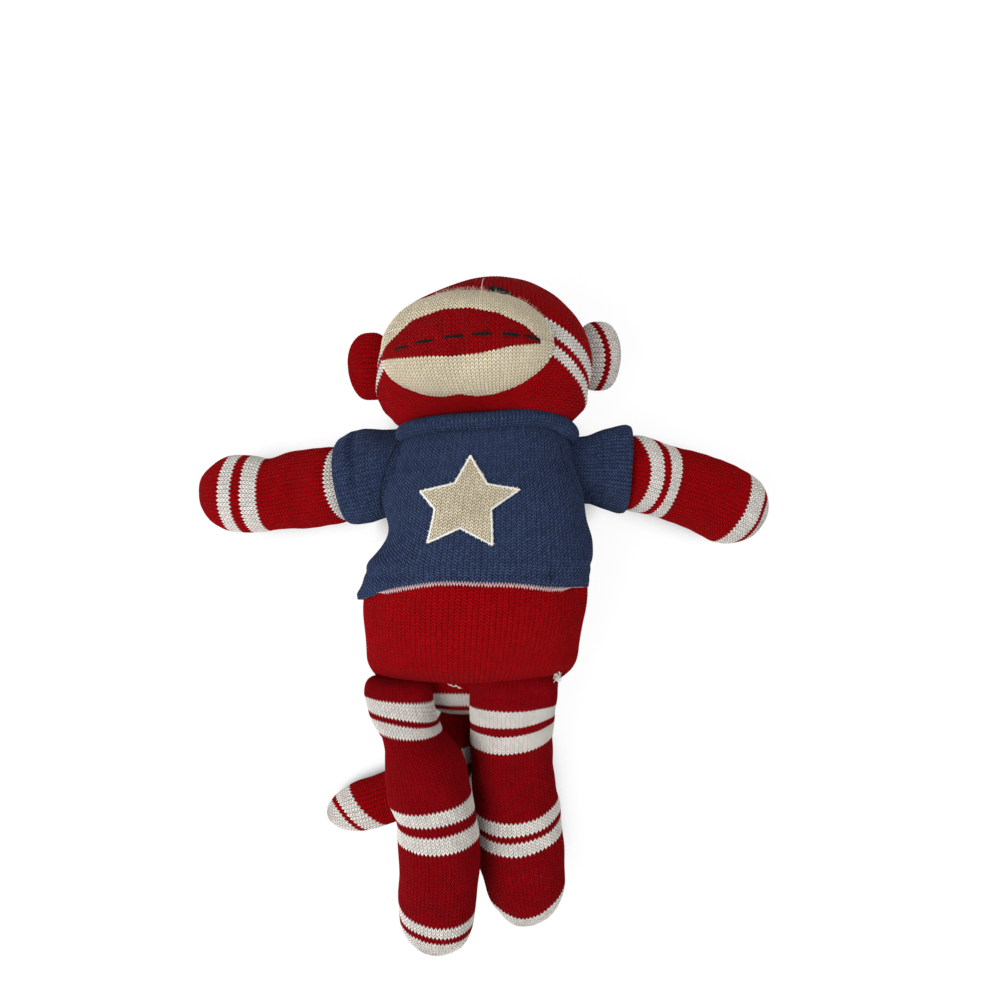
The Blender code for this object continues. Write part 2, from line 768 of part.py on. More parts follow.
def half_space(name, place, direction, slope):
    """A block on one side of a plane, tilted about the level axis through a place."""
    span = 2 * TORSO_LENGTH
    bm = bmesh.new()
    bmesh.ops.create_cube(bm, size=span)
    bmesh.ops.translate(bm, verts=bm.verts, vec=(0, 0, span / 2))
    turn = Vector((0, 0, 1)).rotation_difference(direction).to_matrix().to_4x4()
    level = Vector((0, 0, 1)).cross(direction)
    lean = Matrix.Rotation(slope, 4, level)
    bmesh.ops.transform(bm, verts=bm.verts, matrix=Matrix.Translation(place) @ lean @ turn)
    return new_cutter(name, bm)


def collar_ring(outset, around=32, section=8):
    """The rolled collar's ring, grown by an outset, as a bmesh."""
    axis = torso_axis()
    side = axis.cross(Vector((0, 0, 1)))
    middle = neck_centre() - axis * COLLAR_DROP
    middle.z = COLLAR_DEPTH / 2 - FLOOR_PRESS
    radius = COLLAR_RADIUS + outset
    bm = bmesh.new()
    rings = []
    for i in range(around):
        angle = 2 * math.pi * i / around
        out = side * math.cos(angle) + Vector((0, 0, math.sin(angle)))
        centre = middle + side * ((COLLAR_WIDTH / 2 - COLLAR_RADIUS) * math.cos(angle))
        centre.z += (COLLAR_DEPTH / 2 - COLLAR_RADIUS) * math.sin(angle)
        ring = []
        for k in range(section):
            turn = 2 * math.pi * k / section
            ring.append(bm.verts.new(centre + (out * math.cos(turn) + axis * math.sin(turn)) * radius))
        rings.append(ring)
    for i in range(around):
        this, following = rings[i], rings[(i + 1) % around]
        for k in range(section):
            m = (k + 1) % section
            bm.faces.new((this[k], this[m], following[m], following[k]))
    return bm


def make_collar(slab, origin):
    """The rolled collar, shaped by the sweater's shoulders and the head."""
    collar = new_object("sweater_collar", collar_ring(0.0))
    body = new_cutter("body_against_collar", torso_form().offset(2 * GAP + SWEATER_THICKNESS))
    head = new_cutter("head_against_collar", head_form().offset(GAP))
    arms = [new_cutter(f"{n}_arm_against_collar", arm_form(n).offset(GAP)) for n in ("left", "right")]
    cut(collar, body, head, *arms, slab)
    finish(collar, BLUE_KNIT, origin)


def make_sleeve(side_name, slab, rings=6):
    """A short sleeve round the arm, from the armhole to the cuff."""
    line = arm_line(side_name)
    far, near = CUFF_WIDTH / 2, CUFF_WIDTH / 2 - SWEATER_THICKNESS
    inner, outer = [], []
    for k in range(rings):
        middle, way, level = line.frame(SLEEVE_LENGTH / ARM_LENGTH * k / (rings - 1))
        if k == 0:
            middle = middle - way * (SHOULDER_STANDOFF * SLEEVE_SINK_SHARE)
        inner.append(Station(middle, level, level.cross(way), near, near))
        outer.append(Station(middle, level, level.cross(way), far, far))
    bm = bmesh.new()
    layers = []
    for stations in (outer, inner):
        rows = []
        for station in stations:
            turns = (2 * math.pi * i / SLEEVE_SIDES for i in range(SLEEVE_SIDES))
            rows.append([bm.verts.new(station.point(turn)) for turn in turns])
        layers.append(rows)
    for i in range(SLEEVE_SIDES):
        j = (i + 1) % SLEEVE_SIDES
        for rows in layers:
            for lower, upper in zip(rows, rows[1:]):
                bm.faces.new((lower[i], lower[j], upper[j], upper[i]))
        for end in (0, -1):
            outside, inside = layers[0][end], layers[1][end]
            bm.faces.new((outside[i], outside[j], inside[j], inside[i]))
    sleeve = new_object(f"sweater_sleeve_{side_name}", bm)
    round_body = torso_form().offset(2 * GAP + SWEATER_THICKNESS)
    body = new_cutter(f"body_against_sleeve_{side_name}", round_body)
    arm = new_cutter(f"arm_against_sleeve_{side_name}", arm_form(side_name).offset(GAP))
    collar = new_cutter(f"collar_against_sleeve_{side_name}", collar_ring(GAP))
    cut(sleeve, body, arm, collar, slab)
    finish(sleeve, BLUE_KNIT, shoulder_centre(side_name))


def make_star():
    """The star patch, a thin layer that follows the sweater's chest."""
    station = torso_station(STAR_SHARE)
    bm = bmesh.new()
    outline = []
    for k in range(2 * STAR_POINTS):
        reach = STAR_SPAN / 2 * (1.0 if k % 2 == 0 else STAR_INNER_SHARE)
        angle = math.pi * (0.5 + k / STAR_POINTS) + math.radians(STAR_TURN_DEG)
        flat = Vector((math.cos(angle) * reach, math.sin(angle) * reach, 0))
        outline.append(bm.verts.new(station.middle + station.side * STAR_SHIFT + flat))
    face = bm.faces.new(outline)
    top = bmesh.ops.extrude_face_region(bm, geom=[face])["geom"]
    lifted = [g for g in top if isinstance(g, bmesh.types.BMVert)]
    bmesh.ops.translate(bm, verts=lifted, vec=(0, 0, TORSO_DEPTH))
    star = new_object("star_patch", bm)
    level = GAP + SWEATER_THICKNESS + GAP
    outside = new_cutter("star_outside", torso_form().offset(level + STAR_THICKNESS))
    inside = new_cutter("star_inside", torso_form().offset(level))
    combine(star, outside, "INTERSECT")
    cut(star, inside)
    finish(star, CREAM_KNIT)


def stand_on_origin():
    """Moves the doll so that the middle of its footprint is the origin."""
    bpy.context.view_layer.update()
    corners = []
    for obj in bpy.context.scene.objects:
        if obj.type == "MESH" and not obj.hide_render:
            corners += [obj.matrix_world @ v.co for v in obj.data.vertices]
    low = Vector([min(c[i] for c in corners) for i in range(3)])
    high = Vector([max(c[i] for c in corners) for i in range(3)])
    shift = -(low + high) / 2
    shift.z = -low.z
    for obj in bpy.context.scene.objects:
        obj.location += shift
    return shift


def report(shift):
    """Prints where the joints are."""
    places = {"neck": neck_centre(), "tail": tail_root()}
    for side_name in ("left", "right"):
        places[f"shoulder_{side_name}"] = shoulder_centre(side_name)
        places[f"hip_{side_name}"] = hip_centre(side_name)
        places[f"ear_{side_name}"] = ear_hinge(side_name)[0]
    for name, place in places.items():
        print(name, [round(v, 5) for v in place + shift])
    side, _, up = head_axes()
    print("head side", [round(v, 4) for v in side], "up", [round(v, 4) for v in up])


def main():
    for obj in list(bpy.data.objects):
        bpy.data.objects.remove(obj, do_unlink=True)
    slab = floor_slab()
    neck = neck_centre()
    cutters = [ball("neck_seat", neck, NECK_RADIUS + GAP, 28, 16)]
    for side_name in ("left", "right"):
        seat = ARM_SEAM_WIDTH / 2 + GAP
        cutters.append(ball(f"shoulder_seat_{side_name}", shoulder_centre(side_name), seat))
        hip = hip_centre(side_name)
        width = LEG_WIDTH * LEG_SEAM_SHARE + 2 * GAP
        cutters.append(bar(f"hip_seat_{side_name}", hip, (1, 0, 0), LEG_SEAM_RADIUS + GAP, width))
        cutters.append(new_cutter(f"leg_against_torso_{side_name}", leg_form(side_name).offset(GAP)))
    cutters.append(ball("tail_seat", tail_root(), TAIL_SEAM_RADIUS + GAP))
    make_torso(cutters)

    ear_seats = []
    for side_name in ("left", "right"):
        place, _, _, up = ear_hinge(side_name)
        ear_seats.append(bar(f"ear_seat_{side_name}", place, up, EAR_SEAM_RADIUS + GAP, EAR_HEIGHT))
    make_stuffed("head", head_form(), RED_KNIT, neck, slab, *ear_seats)
    make_muzzle(neck)
    for side_name in ("left", "right"):
        make_eye(side_name, neck)
        hinge, _, _, _ = ear_hinge(side_name)
        ear = new_object(f"ear_{side_name}", ear_form(side_name).offset(0.0))
        cut(ear, new_cutter(f"head_against_ear_{side_name}", head_less_seat(side_name)))
        finish(ear, RED_KNIT, hinge)

    for side_name in ("left", "right"):
        make_stuffed(f"arm_{side_name}", arm_form(side_name), RED_KNIT, shoulder_centre(side_name), slab)
        make_stuffed(f"leg_{side_name}", leg_form(side_name), RED_KNIT, hip_centre(side_name), slab)
        make_sleeve(side_name, slab)
    make_stuffed("tail", tail_form(), RED_KNIT, tail_root(), slab)
    make_sweater_body(slab)
    make_collar(slab, neck)
    make_star()
    for cutter in [o for o in bpy.context.scene.objects if o.hide_render]:
        bpy.data.objects.remove(cutter, do_unlink=True)
    report(stand_on_origin())


def head_less_seat(side_name):
    """The room that the head and an ear's fold need, less the ear's round seam, as a bmesh."""
    whole = new_cutter(f"head_cut_{side_name}", head_form().offset(EAR_CLEARANCE))
    place, _, _, up = ear_hinge(side_name)
    seat = bar(f"ear_room_{side_name}", place, up, EAR_SEAM_RADIUS, EAR_HEIGHT)
    cut(whole, seat)
    bm = bmesh.new()
    bm.from_mesh(whole.data)
    return bm


main()
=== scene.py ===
import json
import math

import bpy
import bmesh
import numpy as np
from mathutils import Matrix, Vector
from mathutils.bvhtree import BVHTree


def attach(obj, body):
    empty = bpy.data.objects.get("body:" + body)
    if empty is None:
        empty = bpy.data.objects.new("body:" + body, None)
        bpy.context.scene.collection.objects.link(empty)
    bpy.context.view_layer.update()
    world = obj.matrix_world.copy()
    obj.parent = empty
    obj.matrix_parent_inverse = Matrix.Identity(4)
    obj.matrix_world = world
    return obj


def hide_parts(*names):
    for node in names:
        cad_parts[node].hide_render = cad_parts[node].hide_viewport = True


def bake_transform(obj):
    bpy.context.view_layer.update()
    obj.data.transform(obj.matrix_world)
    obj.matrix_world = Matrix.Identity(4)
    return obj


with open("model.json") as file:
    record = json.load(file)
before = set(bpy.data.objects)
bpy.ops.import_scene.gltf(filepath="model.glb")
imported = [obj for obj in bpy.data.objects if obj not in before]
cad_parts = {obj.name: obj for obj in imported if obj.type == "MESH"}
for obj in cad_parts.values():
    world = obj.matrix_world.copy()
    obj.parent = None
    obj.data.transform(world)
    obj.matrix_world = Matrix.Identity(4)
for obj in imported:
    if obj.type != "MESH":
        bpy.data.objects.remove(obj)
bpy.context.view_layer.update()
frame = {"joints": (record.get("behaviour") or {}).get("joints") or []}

# The part's own sizes, in metres
TORSO_LENGTH = 0.156
TORSO_WIDTH = 0.116
TORSO_DEPTH = 0.083
TORSO_LEAN = math.radians(3.7)
TORSO_TWIST = math.radians(1.8)
HEAD_LENGTH = 0.076
HEAD_WIDTH = 0.110
HEAD_DEPTH = 0.094
NECK_RADIUS = 0.028
HEAD_TURN = math.radians(-13.0)
HEAD_ROLL = math.radians(1.5)
HEAD_MIDDLE = 0.48
MUZZLE_WIDTH = 0.084
MUZZLE_HEIGHT = 0.0515
MUZZLE_DEPTH = 0.024
MUZZLE_SINK = 0.014
MUZZLE_SHIFT = -0.0010
MUZZLE_PITCH = math.radians(3.0)
EAR_LENGTH = 0.021
EAR_HEIGHT = 0.036
EAR_THICKNESS = 0.015
EAR_SEAM_RADIUS = 0.0035
EAR_FORWARD = {"left": math.radians(-21.0), "right": math.radians(4.0)}
EAR_PLACE = {"left": 0.465, "right": 0.435}
EYE_DIAMETER = 0.0085
EYE_HEIGHT = 0.0026
EYE_SPACING = 0.045
EYE_RISE = 0.0035
ARM_LENGTH = 0.101
ARM_WIDTH = 0.043
ARM_SEAM_WIDTH = 0.030
ARM_SEAM_DEPTH = 0.018
SHOULDER_STANDOFF = 0.010
ARM_DROOP = {"left": math.radians(18.0), "right": math.radians(5.5)}
ARM_BOW = {"left": 0.011, "right": -0.004}
LEG_LENGTH = 0.134
LEG_WIDTH = 0.0445
LEG_SPACING = 0.061
LEG_SHIFT = -0.007
LEG_SPLAY = {"left": math.radians(4.5), "right": math.radians(8.0)}
LEG_BOW = {"left": -0.001, "right": 0.012}
TAIL_LENGTH = 0.107
TAIL_WIDTH = 0.0280
TAIL_DEPTH = 0.0235
TAIL_SEAM_RADIUS = 0.009
TAIL_START = math.radians(16.0)
TAIL_BEND = math.radians(82.0)
SLEEVE_LENGTH = 0.022
COLLAR_DEPTH = 0.086
GAP = 0.0003
PRESS = 0.0005
SWEATER = 0.0020
# Its shares: places along the torso, points that bend each middle line and where it settles,
# how much of a limb swells from its seam, and how much rounds its tip
SHOULDER_SHARE, SHOULDER_HEIGHT_SHARE = 0.847, -0.13
HIP_SHARE, HIP_HEIGHT_SHARE = 0.103, 0.02
TAIL_OUT_SHARE = 0.30
LINE_SHARES = (0.30, 0.66)
ARM_SETTLE_SHARE, LEG_SETTLE_SHARE, TAIL_SETTLE_SHARE = 0.5, 0.32, 0.4
ARM_GROW_SHARE, LEG_GROW_SHARE, TAIL_GROW_SHARE = 0.30, 0.32, 0.27
ARM_TIP_SHARE, LEG_TIP_SHARE, TAIL_TIP_SHARE = 0.20, 0.16, 0.15

TORSO_ROWS = (
    (0.000, 0.000, 0.000, -0.270), (0.032, 0.380, 0.220, -0.270), (0.090, 0.660, 0.440, -0.225),
    (0.160, 0.845, 0.660, -0.150), (0.237, 0.945, 0.835, -0.068), (0.365, 1.000, 0.955, -0.018),
    (0.526, 0.985, 1.000, 0.000), (0.686, 0.915, 0.975, 0.000), (0.814, 0.830, 0.905, -0.008),
    (0.904, 0.710, 0.780, -0.010), (0.962, 0.460, 0.560, -0.010), (1.000, 0.000, 0.000, -0.010),
)
SKULL_ROWS = (
    (0.00, 0.514, 0.596, 0.0), (0.09, 0.915, 0.770, 0.0), (0.20, 0.990, 0.870, 0.0),
    (0.33, 1.000, 0.955, 0.0), (0.48, 0.995, 1.000, 0.0), (0.63, 0.935, 0.985, 0.0),
    (0.78, 0.785, 0.860, 0.0), (0.91, 0.540, 0.610, 0.0), (1.00, 0.000, 0.000, 0.0),
)

# Knit: the muzzle's stitches across, and the height of one course of the socks and of the sweater
MUZZLE_WALE = 0.0020
COURSE = 0.0017
FINE_COURSE = 0.0016
# Courses counted before the first, so that no count falls below zero
LEAD = 10
# How far stitches stand up in the mesh
TUBE_RELIEF, HEAD_RELIEF, MUZZLE_RELIEF = 0.00045, 0.00030, 0.00060
SWEATER_RELIEF, SLEEVE_RELIEF, COLLAR_RELIEF, STAR_RELIEF = 0.00045, 0.00042, 0.0007, 0.0005
Z = np.array((0.0, 0.0, 1.0))

# Camera, straight above the doll: its picture is 1000 pixels wide
FOCAL = 720.0
PICTURE_MIDDLE = 500
CAMERA_HEIGHT = 0.420
SIDES = ("left", "right")


def vec(v):
    return np.array(v, float)


def unit(v):
    return v / np.linalg.norm(v, axis=-1, keepdims=True)


def smooth_rows(rows, place):
    last = len(rows) - 1
    k = 0
    while k < last - 1 and rows[k + 1][0] < place:
        k += 1
    a, b = rows[k], rows[k + 1]
    before, after = rows[max(k - 1, 0)], rows[min(k + 2, last)]
    span = b[0] - a[0]
    t = (place - a[0]) / span
    values = []
    for column in (1, 2, 3):
        power = 2 if column < 3 else 1
        p0, p1, p2, p3 = (row[column] ** power for row in (before, a, b, after))
        slope_a = (p2 - p0) / max(b[0] - before[0], span) * span
        slope_b = (p3 - p1) / max(after[0] - a[0], span) * span
        value = ((2 * t**3 - 3 * t**2 + 1) * p1 + (t**3 - 2 * t**2 + t) * slope_a
                 + (3 * t**2 - 2 * t**3) * p2 + (t**3 - t**2) * slope_b)
        values.append(math.sqrt(max(value, 0.0)) if power == 2 else value)
    return values


def ease(x):
    x = np.clip(x, 0.0, 1.0)
    return x * x * (3 - 2 * x)


def hump(x, middle, spread):
    """A smooth rise to 1 at the middle."""
    return np.exp(-(((x - middle) / spread) ** 2))


def circle(count):
    return 2 * np.pi * np.arange(count) / count


def oval(side, up, width, depth, turns):
    """The offsets of an oval's points from its middle."""
    return side * (width * np.cos(turns))[..., None] + up * (depth * np.sin(turns))[..., None]


def torso_axis():
    return vec((math.sin(TORSO_LEAN), math.cos(TORSO_LEAN), 0.0))


def torso_side():
    return vec((math.cos(TORSO_TWIST), math.sin(TORSO_TWIST), 0.0))


TORSO_MIDDLE = TORSO_DEPTH / 2 + GAP + SWEATER - PRESS
TABLE = np.linspace(0, 1, 2001)
TORSO_TABLE = np.array([smooth_rows(TORSO_ROWS, x) for x in TABLE])

# The frame's neck joint gives the place of everything else
NECK = vec(next(j for j in frame["joints"] if j["name"] == "neck_turn")["pos_m"])
SEAT = NECK - torso_axis() * TORSO_LENGTH
SEAT[2] = TORSO_MIDDLE


def torso_sizes(share):
    """Half width, half depth and height of the middle of the torso, at places along it."""
    share = np.clip(share, 0, 1)
    width = np.interp(share, TABLE, TORSO_TABLE[:, 0]) * TORSO_WIDTH / 2
    depth = np.interp(share, TABLE, TORSO_TABLE[:, 1]) * TORSO_DEPTH / 2
    rise = np.interp(share, TABLE, TORSO_TABLE[:, 2]) * TORSO_DEPTH
    return width, depth, TORSO_MIDDLE + rise


def torso_ring(share, turns):
    """Points of the torso's surface, for arrays of places and of turns round it."""
    width, depth, height = torso_sizes(share)
    middle = SEAT + torso_axis() * (TORSO_LENGTH * share)[..., None]
    middle[..., 2] = height
    return middle + oval(torso_side(), Z, width, depth, turns)


def torso_place(points):
    """The share along the torso and the distance to its side of points, as arrays."""
    v = points - SEAT
    (ax, ay, _), (sx, sy, _) = torso_axis(), torso_side()
    det = ax * sy - ay * sx
    along = (v[..., 0] * sy - v[..., 1] * sx) / det
    across = (ax * v[..., 1] - ay * v[..., 0]) / det
    return along / TORSO_LENGTH, across


def head_axes():
    rise = HEAD_DEPTH / 2 - PRESS - NECK[2]
    up = Vector((0, HEAD_LENGTH / 2, rise)).normalized()
    up.rotate(Matrix.Rotation(HEAD_ROLL, 3, "Z"))
    front = (Vector((0, 0, 1)) - up * up.z).normalized()
    front.rotate(Matrix.Rotation(HEAD_TURN, 3, up))
    return vec(up.cross(front)), vec(front), vec(up)


SIDE, FRONT, UP = head_axes()
HEAD = NECK + UP * (HEAD_LENGTH * HEAD_MIDDLE)


def facing(points, toward=None):
    """The grid's normals, before they are turned outward, and +1 where they already are, else -1."""
    across = np.roll(points, -1, axis=1) - np.roll(points, 1, axis=1)
    along = np.gradient(points, axis=0)
    normal = unit(np.cross(across, along) + 1e-15)
    reference = points - points.mean(axis=1, keepdims=True) if toward is None else toward
    return normal, 1.0 if np.sum(normal * reference) > 0 else -1.0


def normals_of(points, toward=None):
    """Unit normals, outward, of a grid whose columns go round."""
    normal, turn = facing(points, toward)
    return normal * turn


# How far a stitch's two legs slant, in courses
SLOPE = 0.85


def knit(wale, course):
    """Height of plain knitting, from 0 between the strands to 1 on top of one."""
    side = np.abs(np.mod(wale, 1) - 0.5) * 2
    strand = np.sin(np.pi * np.mod(course + SLOPE * side, 1)) ** 0.7
    leg = np.sqrt(np.clip(1 - side**4, 0, 1)) * (1 - 0.35 * (1 - side) ** 4)
    return strand * (0.25 + 0.45 * leg) + leg * 0.30


def ribs(wale):
    """Height of the upright ridges alone, for meshes too coarse for single stitches."""
    return np.abs(np.sin(np.pi * wale)) ** 0.8


def lumps(points, size, seed=0.0):
    """A slow, even unevenness in -1 to 1, for stuffing that isn't quite smooth."""
    x, y, z = (points[..., i] / size for i in range(3))
    value = np.sin(1.3 * x + 2.1 * y + seed) * np.cos(1.7 * z - 0.6 * x + 1.3 * seed)
    value += 0.6 * np.sin(2.9 * y - 1.9 * z + 2.3 * seed) * np.cos(2.3 * x + 0.7 * z + seed)
    value += 0.35 * np.sin(4.7 * x + 3.1 * z + 0.7 * seed) * np.cos(4.3 * y - 2.2 * x)
    return value / 1.95


def raise_surface(points, height):
    """Points moved outward by a height each, but not below the floor."""
    points = points + normals_of(points) * height[..., None]
    points[..., 2] = np.maximum(points[..., 2], 0.0)
    return points


def wales_across(rings, columns, per_wale):
    return np.tile(np.arange(columns) / per_wale, (rings, 1))


def courses_along(far, columns, course=COURSE):
    return np.tile((far / course)[:, None], (1, columns))


def add_object(name, data):
    obj = bpy.data.objects.new(name, data)
    bpy.context.scene.collection.objects.link(obj)
    return obj


def grid_mesh(name, points, wale, course, tone=None, start=None, end=None, toward=None):
    """A mesh from a grid of rings, with its knit places as UV maps. A start or an end closes it with a fan."""
    rings, columns = points.shape[:2]
    outward = facing(points, toward)[1] > 0
    tone = course if tone is None else tone
    verts = points.reshape(-1, 3)
    i, j = np.meshgrid(np.arange(rings - 1), np.arange(columns), indexing="ij")
    m = (j + 1) % columns
    quads = np.stack([i * columns + j, i * columns + m, (i + 1) * columns + m, (i + 1) * columns + j], -1)
    quads = quads.reshape(-1, 4)

    def corners(field, last):
        wide = np.concatenate([field, last], axis=1)
        return np.stack([wide[:-1, :-1], wide[:-1, 1:], wide[1:, 1:], wide[1:, :-1]], -1).reshape(-1, 4)

    turn = wale[:, :1] + (wale[:, 1:2] - wale[:, :1]) * columns
    u = corners(wale, turn)
    v = corners(course, course[:, :1])
    w = corners(tone, tone[:, :1])
    if not outward:
        quads, u, v, w = quads[:, ::-1], u[:, ::-1], v[:, ::-1], w[:, ::-1]
    faces = quads.tolist()
    uv = [np.stack([u, v], -1).reshape(-1, 2)]
    uv2 = [np.stack([w, np.zeros_like(w)], -1).reshape(-1, 2)]
    extra = []
    for point, ring, flip in ((start, 0, outward), (end, rings - 1, not outward)):
        if point is None:
            continue
        index = len(verts) + len(extra)
        extra.append(point)
        base = ring * columns
        step = wale[ring, 1] - wale[ring, 0]
        tri_uv, tri_w = [], []
        for k in range(columns):
            pair = [(base + k, wale[ring, k]), (base + (k + 1) % columns, wale[ring, k] + step)]
            (a, ua), (b, ub) = pair[::-1] if flip else pair
            faces.append((a, b, index))
            tri_uv += [(across, course[ring, k]) for across in (ua, ub, (ua + ub) / 2)]
            tri_w += [(tone[ring, k], 0)] * 3
        uv.append(np.array(tri_uv))
        uv2.append(np.array(tri_w))
    if extra:
        verts = np.concatenate([verts, np.array(extra)])
    mesh = bpy.data.meshes.new(name)
    mesh.from_pydata(verts.tolist(), [], faces)
    for layer_name, values in (("knit", uv), ("tone", uv2)):
        layer = mesh.uv_layers.new(name=layer_name)
        layer.data.foreach_set("uv", np.concatenate(values).astype(np.float32).ravel())
    mesh.shade_smooth()
    return add_object(name, mesh)


def ring_distances(points):
    """Mean distance along the grid, ring by ring."""
    steps = np.linalg.norm(np.diff(points, axis=0), axis=-1).mean(axis=1)
    return np.concatenate([[0.0], np.cumsum(steps)])


def stack_rings(stations, columns):
    """The grid of rings for a list of (middle, side, up, half width, half depth)."""
    turns = circle(columns)
    middle, side, up = (np.array([s[i] for s in stations]) for i in range(3))
    width, depth = (np.array([s[i] for s in stations])[:, None] for i in (3, 4))
    return middle[:, None] + oval(side[:, None], up[:, None], width, depth, turns)


def knitted_tube(name, stations, wales, per_wale, start, end, relief=TUBE_RELIEF, soft=0.0005, bow=None,
                 seed=0.0, seam=0.0):
    """A stuffed tube with raised stitches, and a function for the course at a place along its middle."""
    columns = wales * per_wale
    points = stack_rings(stations, columns)
    far = ring_distances(points)
    middles = np.array([s[0] for s in stations])
    along = np.concatenate([[0.0], np.cumsum(np.linalg.norm(np.diff(middles, axis=0), axis=1))]) - seam
    turns = circle(columns)
    wale = wales_across(len(stations), columns, per_wale)
    course = courses_along(far, columns) + LEAD
    if bow is not None:
        course = course + bow(along, turns) / COURSE
    fade = ease(np.minimum(far, far[-1] - far) / 0.004)[:, None]
    height = (knit(wale, course) - 1) * relief + soft * lumps(points, 0.011, seed) * fade
    points = raise_surface(points, height)

    def course_at(place):
        return float(np.interp(place, along, far)) / COURSE + LEAD

    return grid_mesh(name, points, wale, course, None, start, end), course_at


class Line:
    """A limb's middle: a curve in plan that settles from its seam to a height."""

    def __init__(self, points, rest_height, settle):
        self.points = [vec(p) for p in points]
        self.rest_height = rest_height
        self.settle = settle

    def place(self, t):
        row = self.points
        while len(row) > 1:
            row = [a * (1 - t) + b * t for a, b in zip(row, row[1:])]
        place = row[0].copy()
        start = self.points[0][2]
        place[2] = start + (self.rest_height - start) * float(ease(t / self.settle))
        return place

    def frame(self, t):
        ahead = self.place(min(t + 0.01, 1.0)) - self.place(max(t - 0.01, 0.0))
        along = unit(ahead)
        return self.place(t), along, unit(np.cross(along, Z))


def sign(side_name):
    return 1 if side_name == "left" else -1


def shoulder(side_name):
    width, _, height = torso_sizes(np.array(SHOULDER_SHARE))
    middle = SEAT + torso_axis() * (TORSO_LENGTH * SHOULDER_SHARE)
    middle[2] = height + SHOULDER_HEIGHT_SHARE * TORSO_DEPTH
    return middle + torso_side() * sign(side_name) * (float(width) + SHOULDER_STANDOFF)


def arm_line(side_name):
    root = shoulder(side_name)
    droop = ARM_DROOP[side_name]
    out = vec((sign(side_name) * math.cos(droop), -math.sin(droop), 0))
    bow = np.cross(Z, out) * sign(side_name) * ARM_BOW[side_name]
    near, far = (root + out * (ARM_LENGTH * share) + bow for share in LINE_SHARES)
    return Line([root, near, far, root + out * ARM_LENGTH], ARM_WIDTH / 2 - PRESS, ARM_SETTLE_SHARE)


def hip(side_name):
    middle = SEAT + torso_axis() * (TORSO_LENGTH * HIP_SHARE)
    middle = middle + torso_side() * (sign(side_name) * LEG_SPACING / 2 + LEG_SHIFT)
    middle[2] = TORSO_MIDDLE + HIP_HEIGHT_SHARE * TORSO_DEPTH
    return middle


def leg_line(side_name):
    root = hip(side_name)
    splay = LEG_SPLAY[side_name]
    out = vec((math.sin(splay), -math.cos(splay), 0))
    bow = vec((LEG_BOW[side_name], 0, 0))
    near, far = (root + out * (LEG_LENGTH * share) + bow for share in LINE_SHARES)
    rest = LEG_WIDTH / 2 - PRESS if side_name == "left" else TAIL_DEPTH - PRESS + GAP + LEG_WIDTH / 2
    return Line([root, near, far, root + out * LEG_LENGTH], rest, LEG_SETTLE_SHARE)


def tail_line():
    root = SEAT + torso_side() * LEG_SHIFT - torso_axis() * (TAIL_SEAM_RADIUS * TAIL_OUT_SHARE)
    root[2] = TAIL_SEAM_RADIUS + TAIL_DEPTH / 4
    down = vec((-math.sin(TAIL_START), -math.cos(TAIL_START), 0))
    out = vec((-math.sin(TAIL_BEND), -math.cos(TAIL_BEND), 0))
    near = root + down * (TAIL_LENGTH * 0.24)
    far = root + down * (TAIL_LENGTH * 0.475)
    tip = far + out * (TAIL_LENGTH * 0.565)
    return Line([root, near, far, tip], TAIL_DEPTH / 2 - PRESS, TAIL_SETTLE_SHARE)


def tip_round(t, tip_share):
    left = (1 - t) / tip_share
    return math.sqrt(max(1 - (1 - left) ** 2, 0.0)) if left < 1 else 1.0


def tip_places(step, length, tip_share, last=0.9995):
    """Places along a limb a step apart, and as close round its tip."""
    even = list(np.arange(0.0, 1 - tip_share, step / length))
    arc = tip_share * length * 1.35
    count = max(int(arc / step), 4)
    for k in range(1, count + 1):
        even.append(1 - tip_share + tip_share * math.sin(math.pi / 2 * k / count) * last)
    return even


# Materials

def node_makers(tree):
    """Two functions: one adds a node to a tree, the other adds a math node with its inputs joined."""
    def new(kind, **settings):
        node = tree.nodes.new(kind)
        for key, value in settings.items():
            setattr(node, key, value)
        return node

    def calc(operation, a, b=None, c=None, clamp=False):
        node = new("ShaderNodeMath", operation=operation, use_clamp=clamp)
        for socket, value in zip(node.inputs, (a, b, c)):
            if value is None:
                continue
            if isinstance(value, (int, float)):
                socket.default_value = value
            else:
                tree.links.new(value, socket)
        return node.outputs[0]

    return new, calc


def new_material(name):
    made = bpy.data.materials.new(name)
    made.use_nodes = True
    return made, made.node_tree, *node_makers(made.node_tree)


def set_inputs(node, **values):
    """Sets a node's inputs, whose names are given with _ for each space."""
    for key, value in values.items():
        node.inputs[key.replace("_", " ")].default_value = value


def noise(tree, new, scale, detail):
    """Noise in the object's own coordinates."""
    coords, node = new("ShaderNodeTexCoord"), new("ShaderNodeTexNoise")
    set_inputs(node, Scale=scale, Detail=detail)
    tree.links.new(coords.outputs["Object"], node.inputs["Vector"])
    return node.outputs[0]


def finish_yarn(tree, new, colour, height, strength, distance, **values):
    """Joins a colour and a height for bump to the shader, and sets its other inputs."""
    shader = tree.nodes["Principled BSDF"]
    tree.links.new(colour, shader.inputs["Base Color"])
    bumped = new("ShaderNodeBump")
    set_inputs(bumped, Strength=strength, Distance=distance)
    tree.links.new(height, bumped.inputs["Height"])
    tree.links.new(bumped.outputs[0], shader.inputs["Normal"])
    set_inputs(shader, **values)


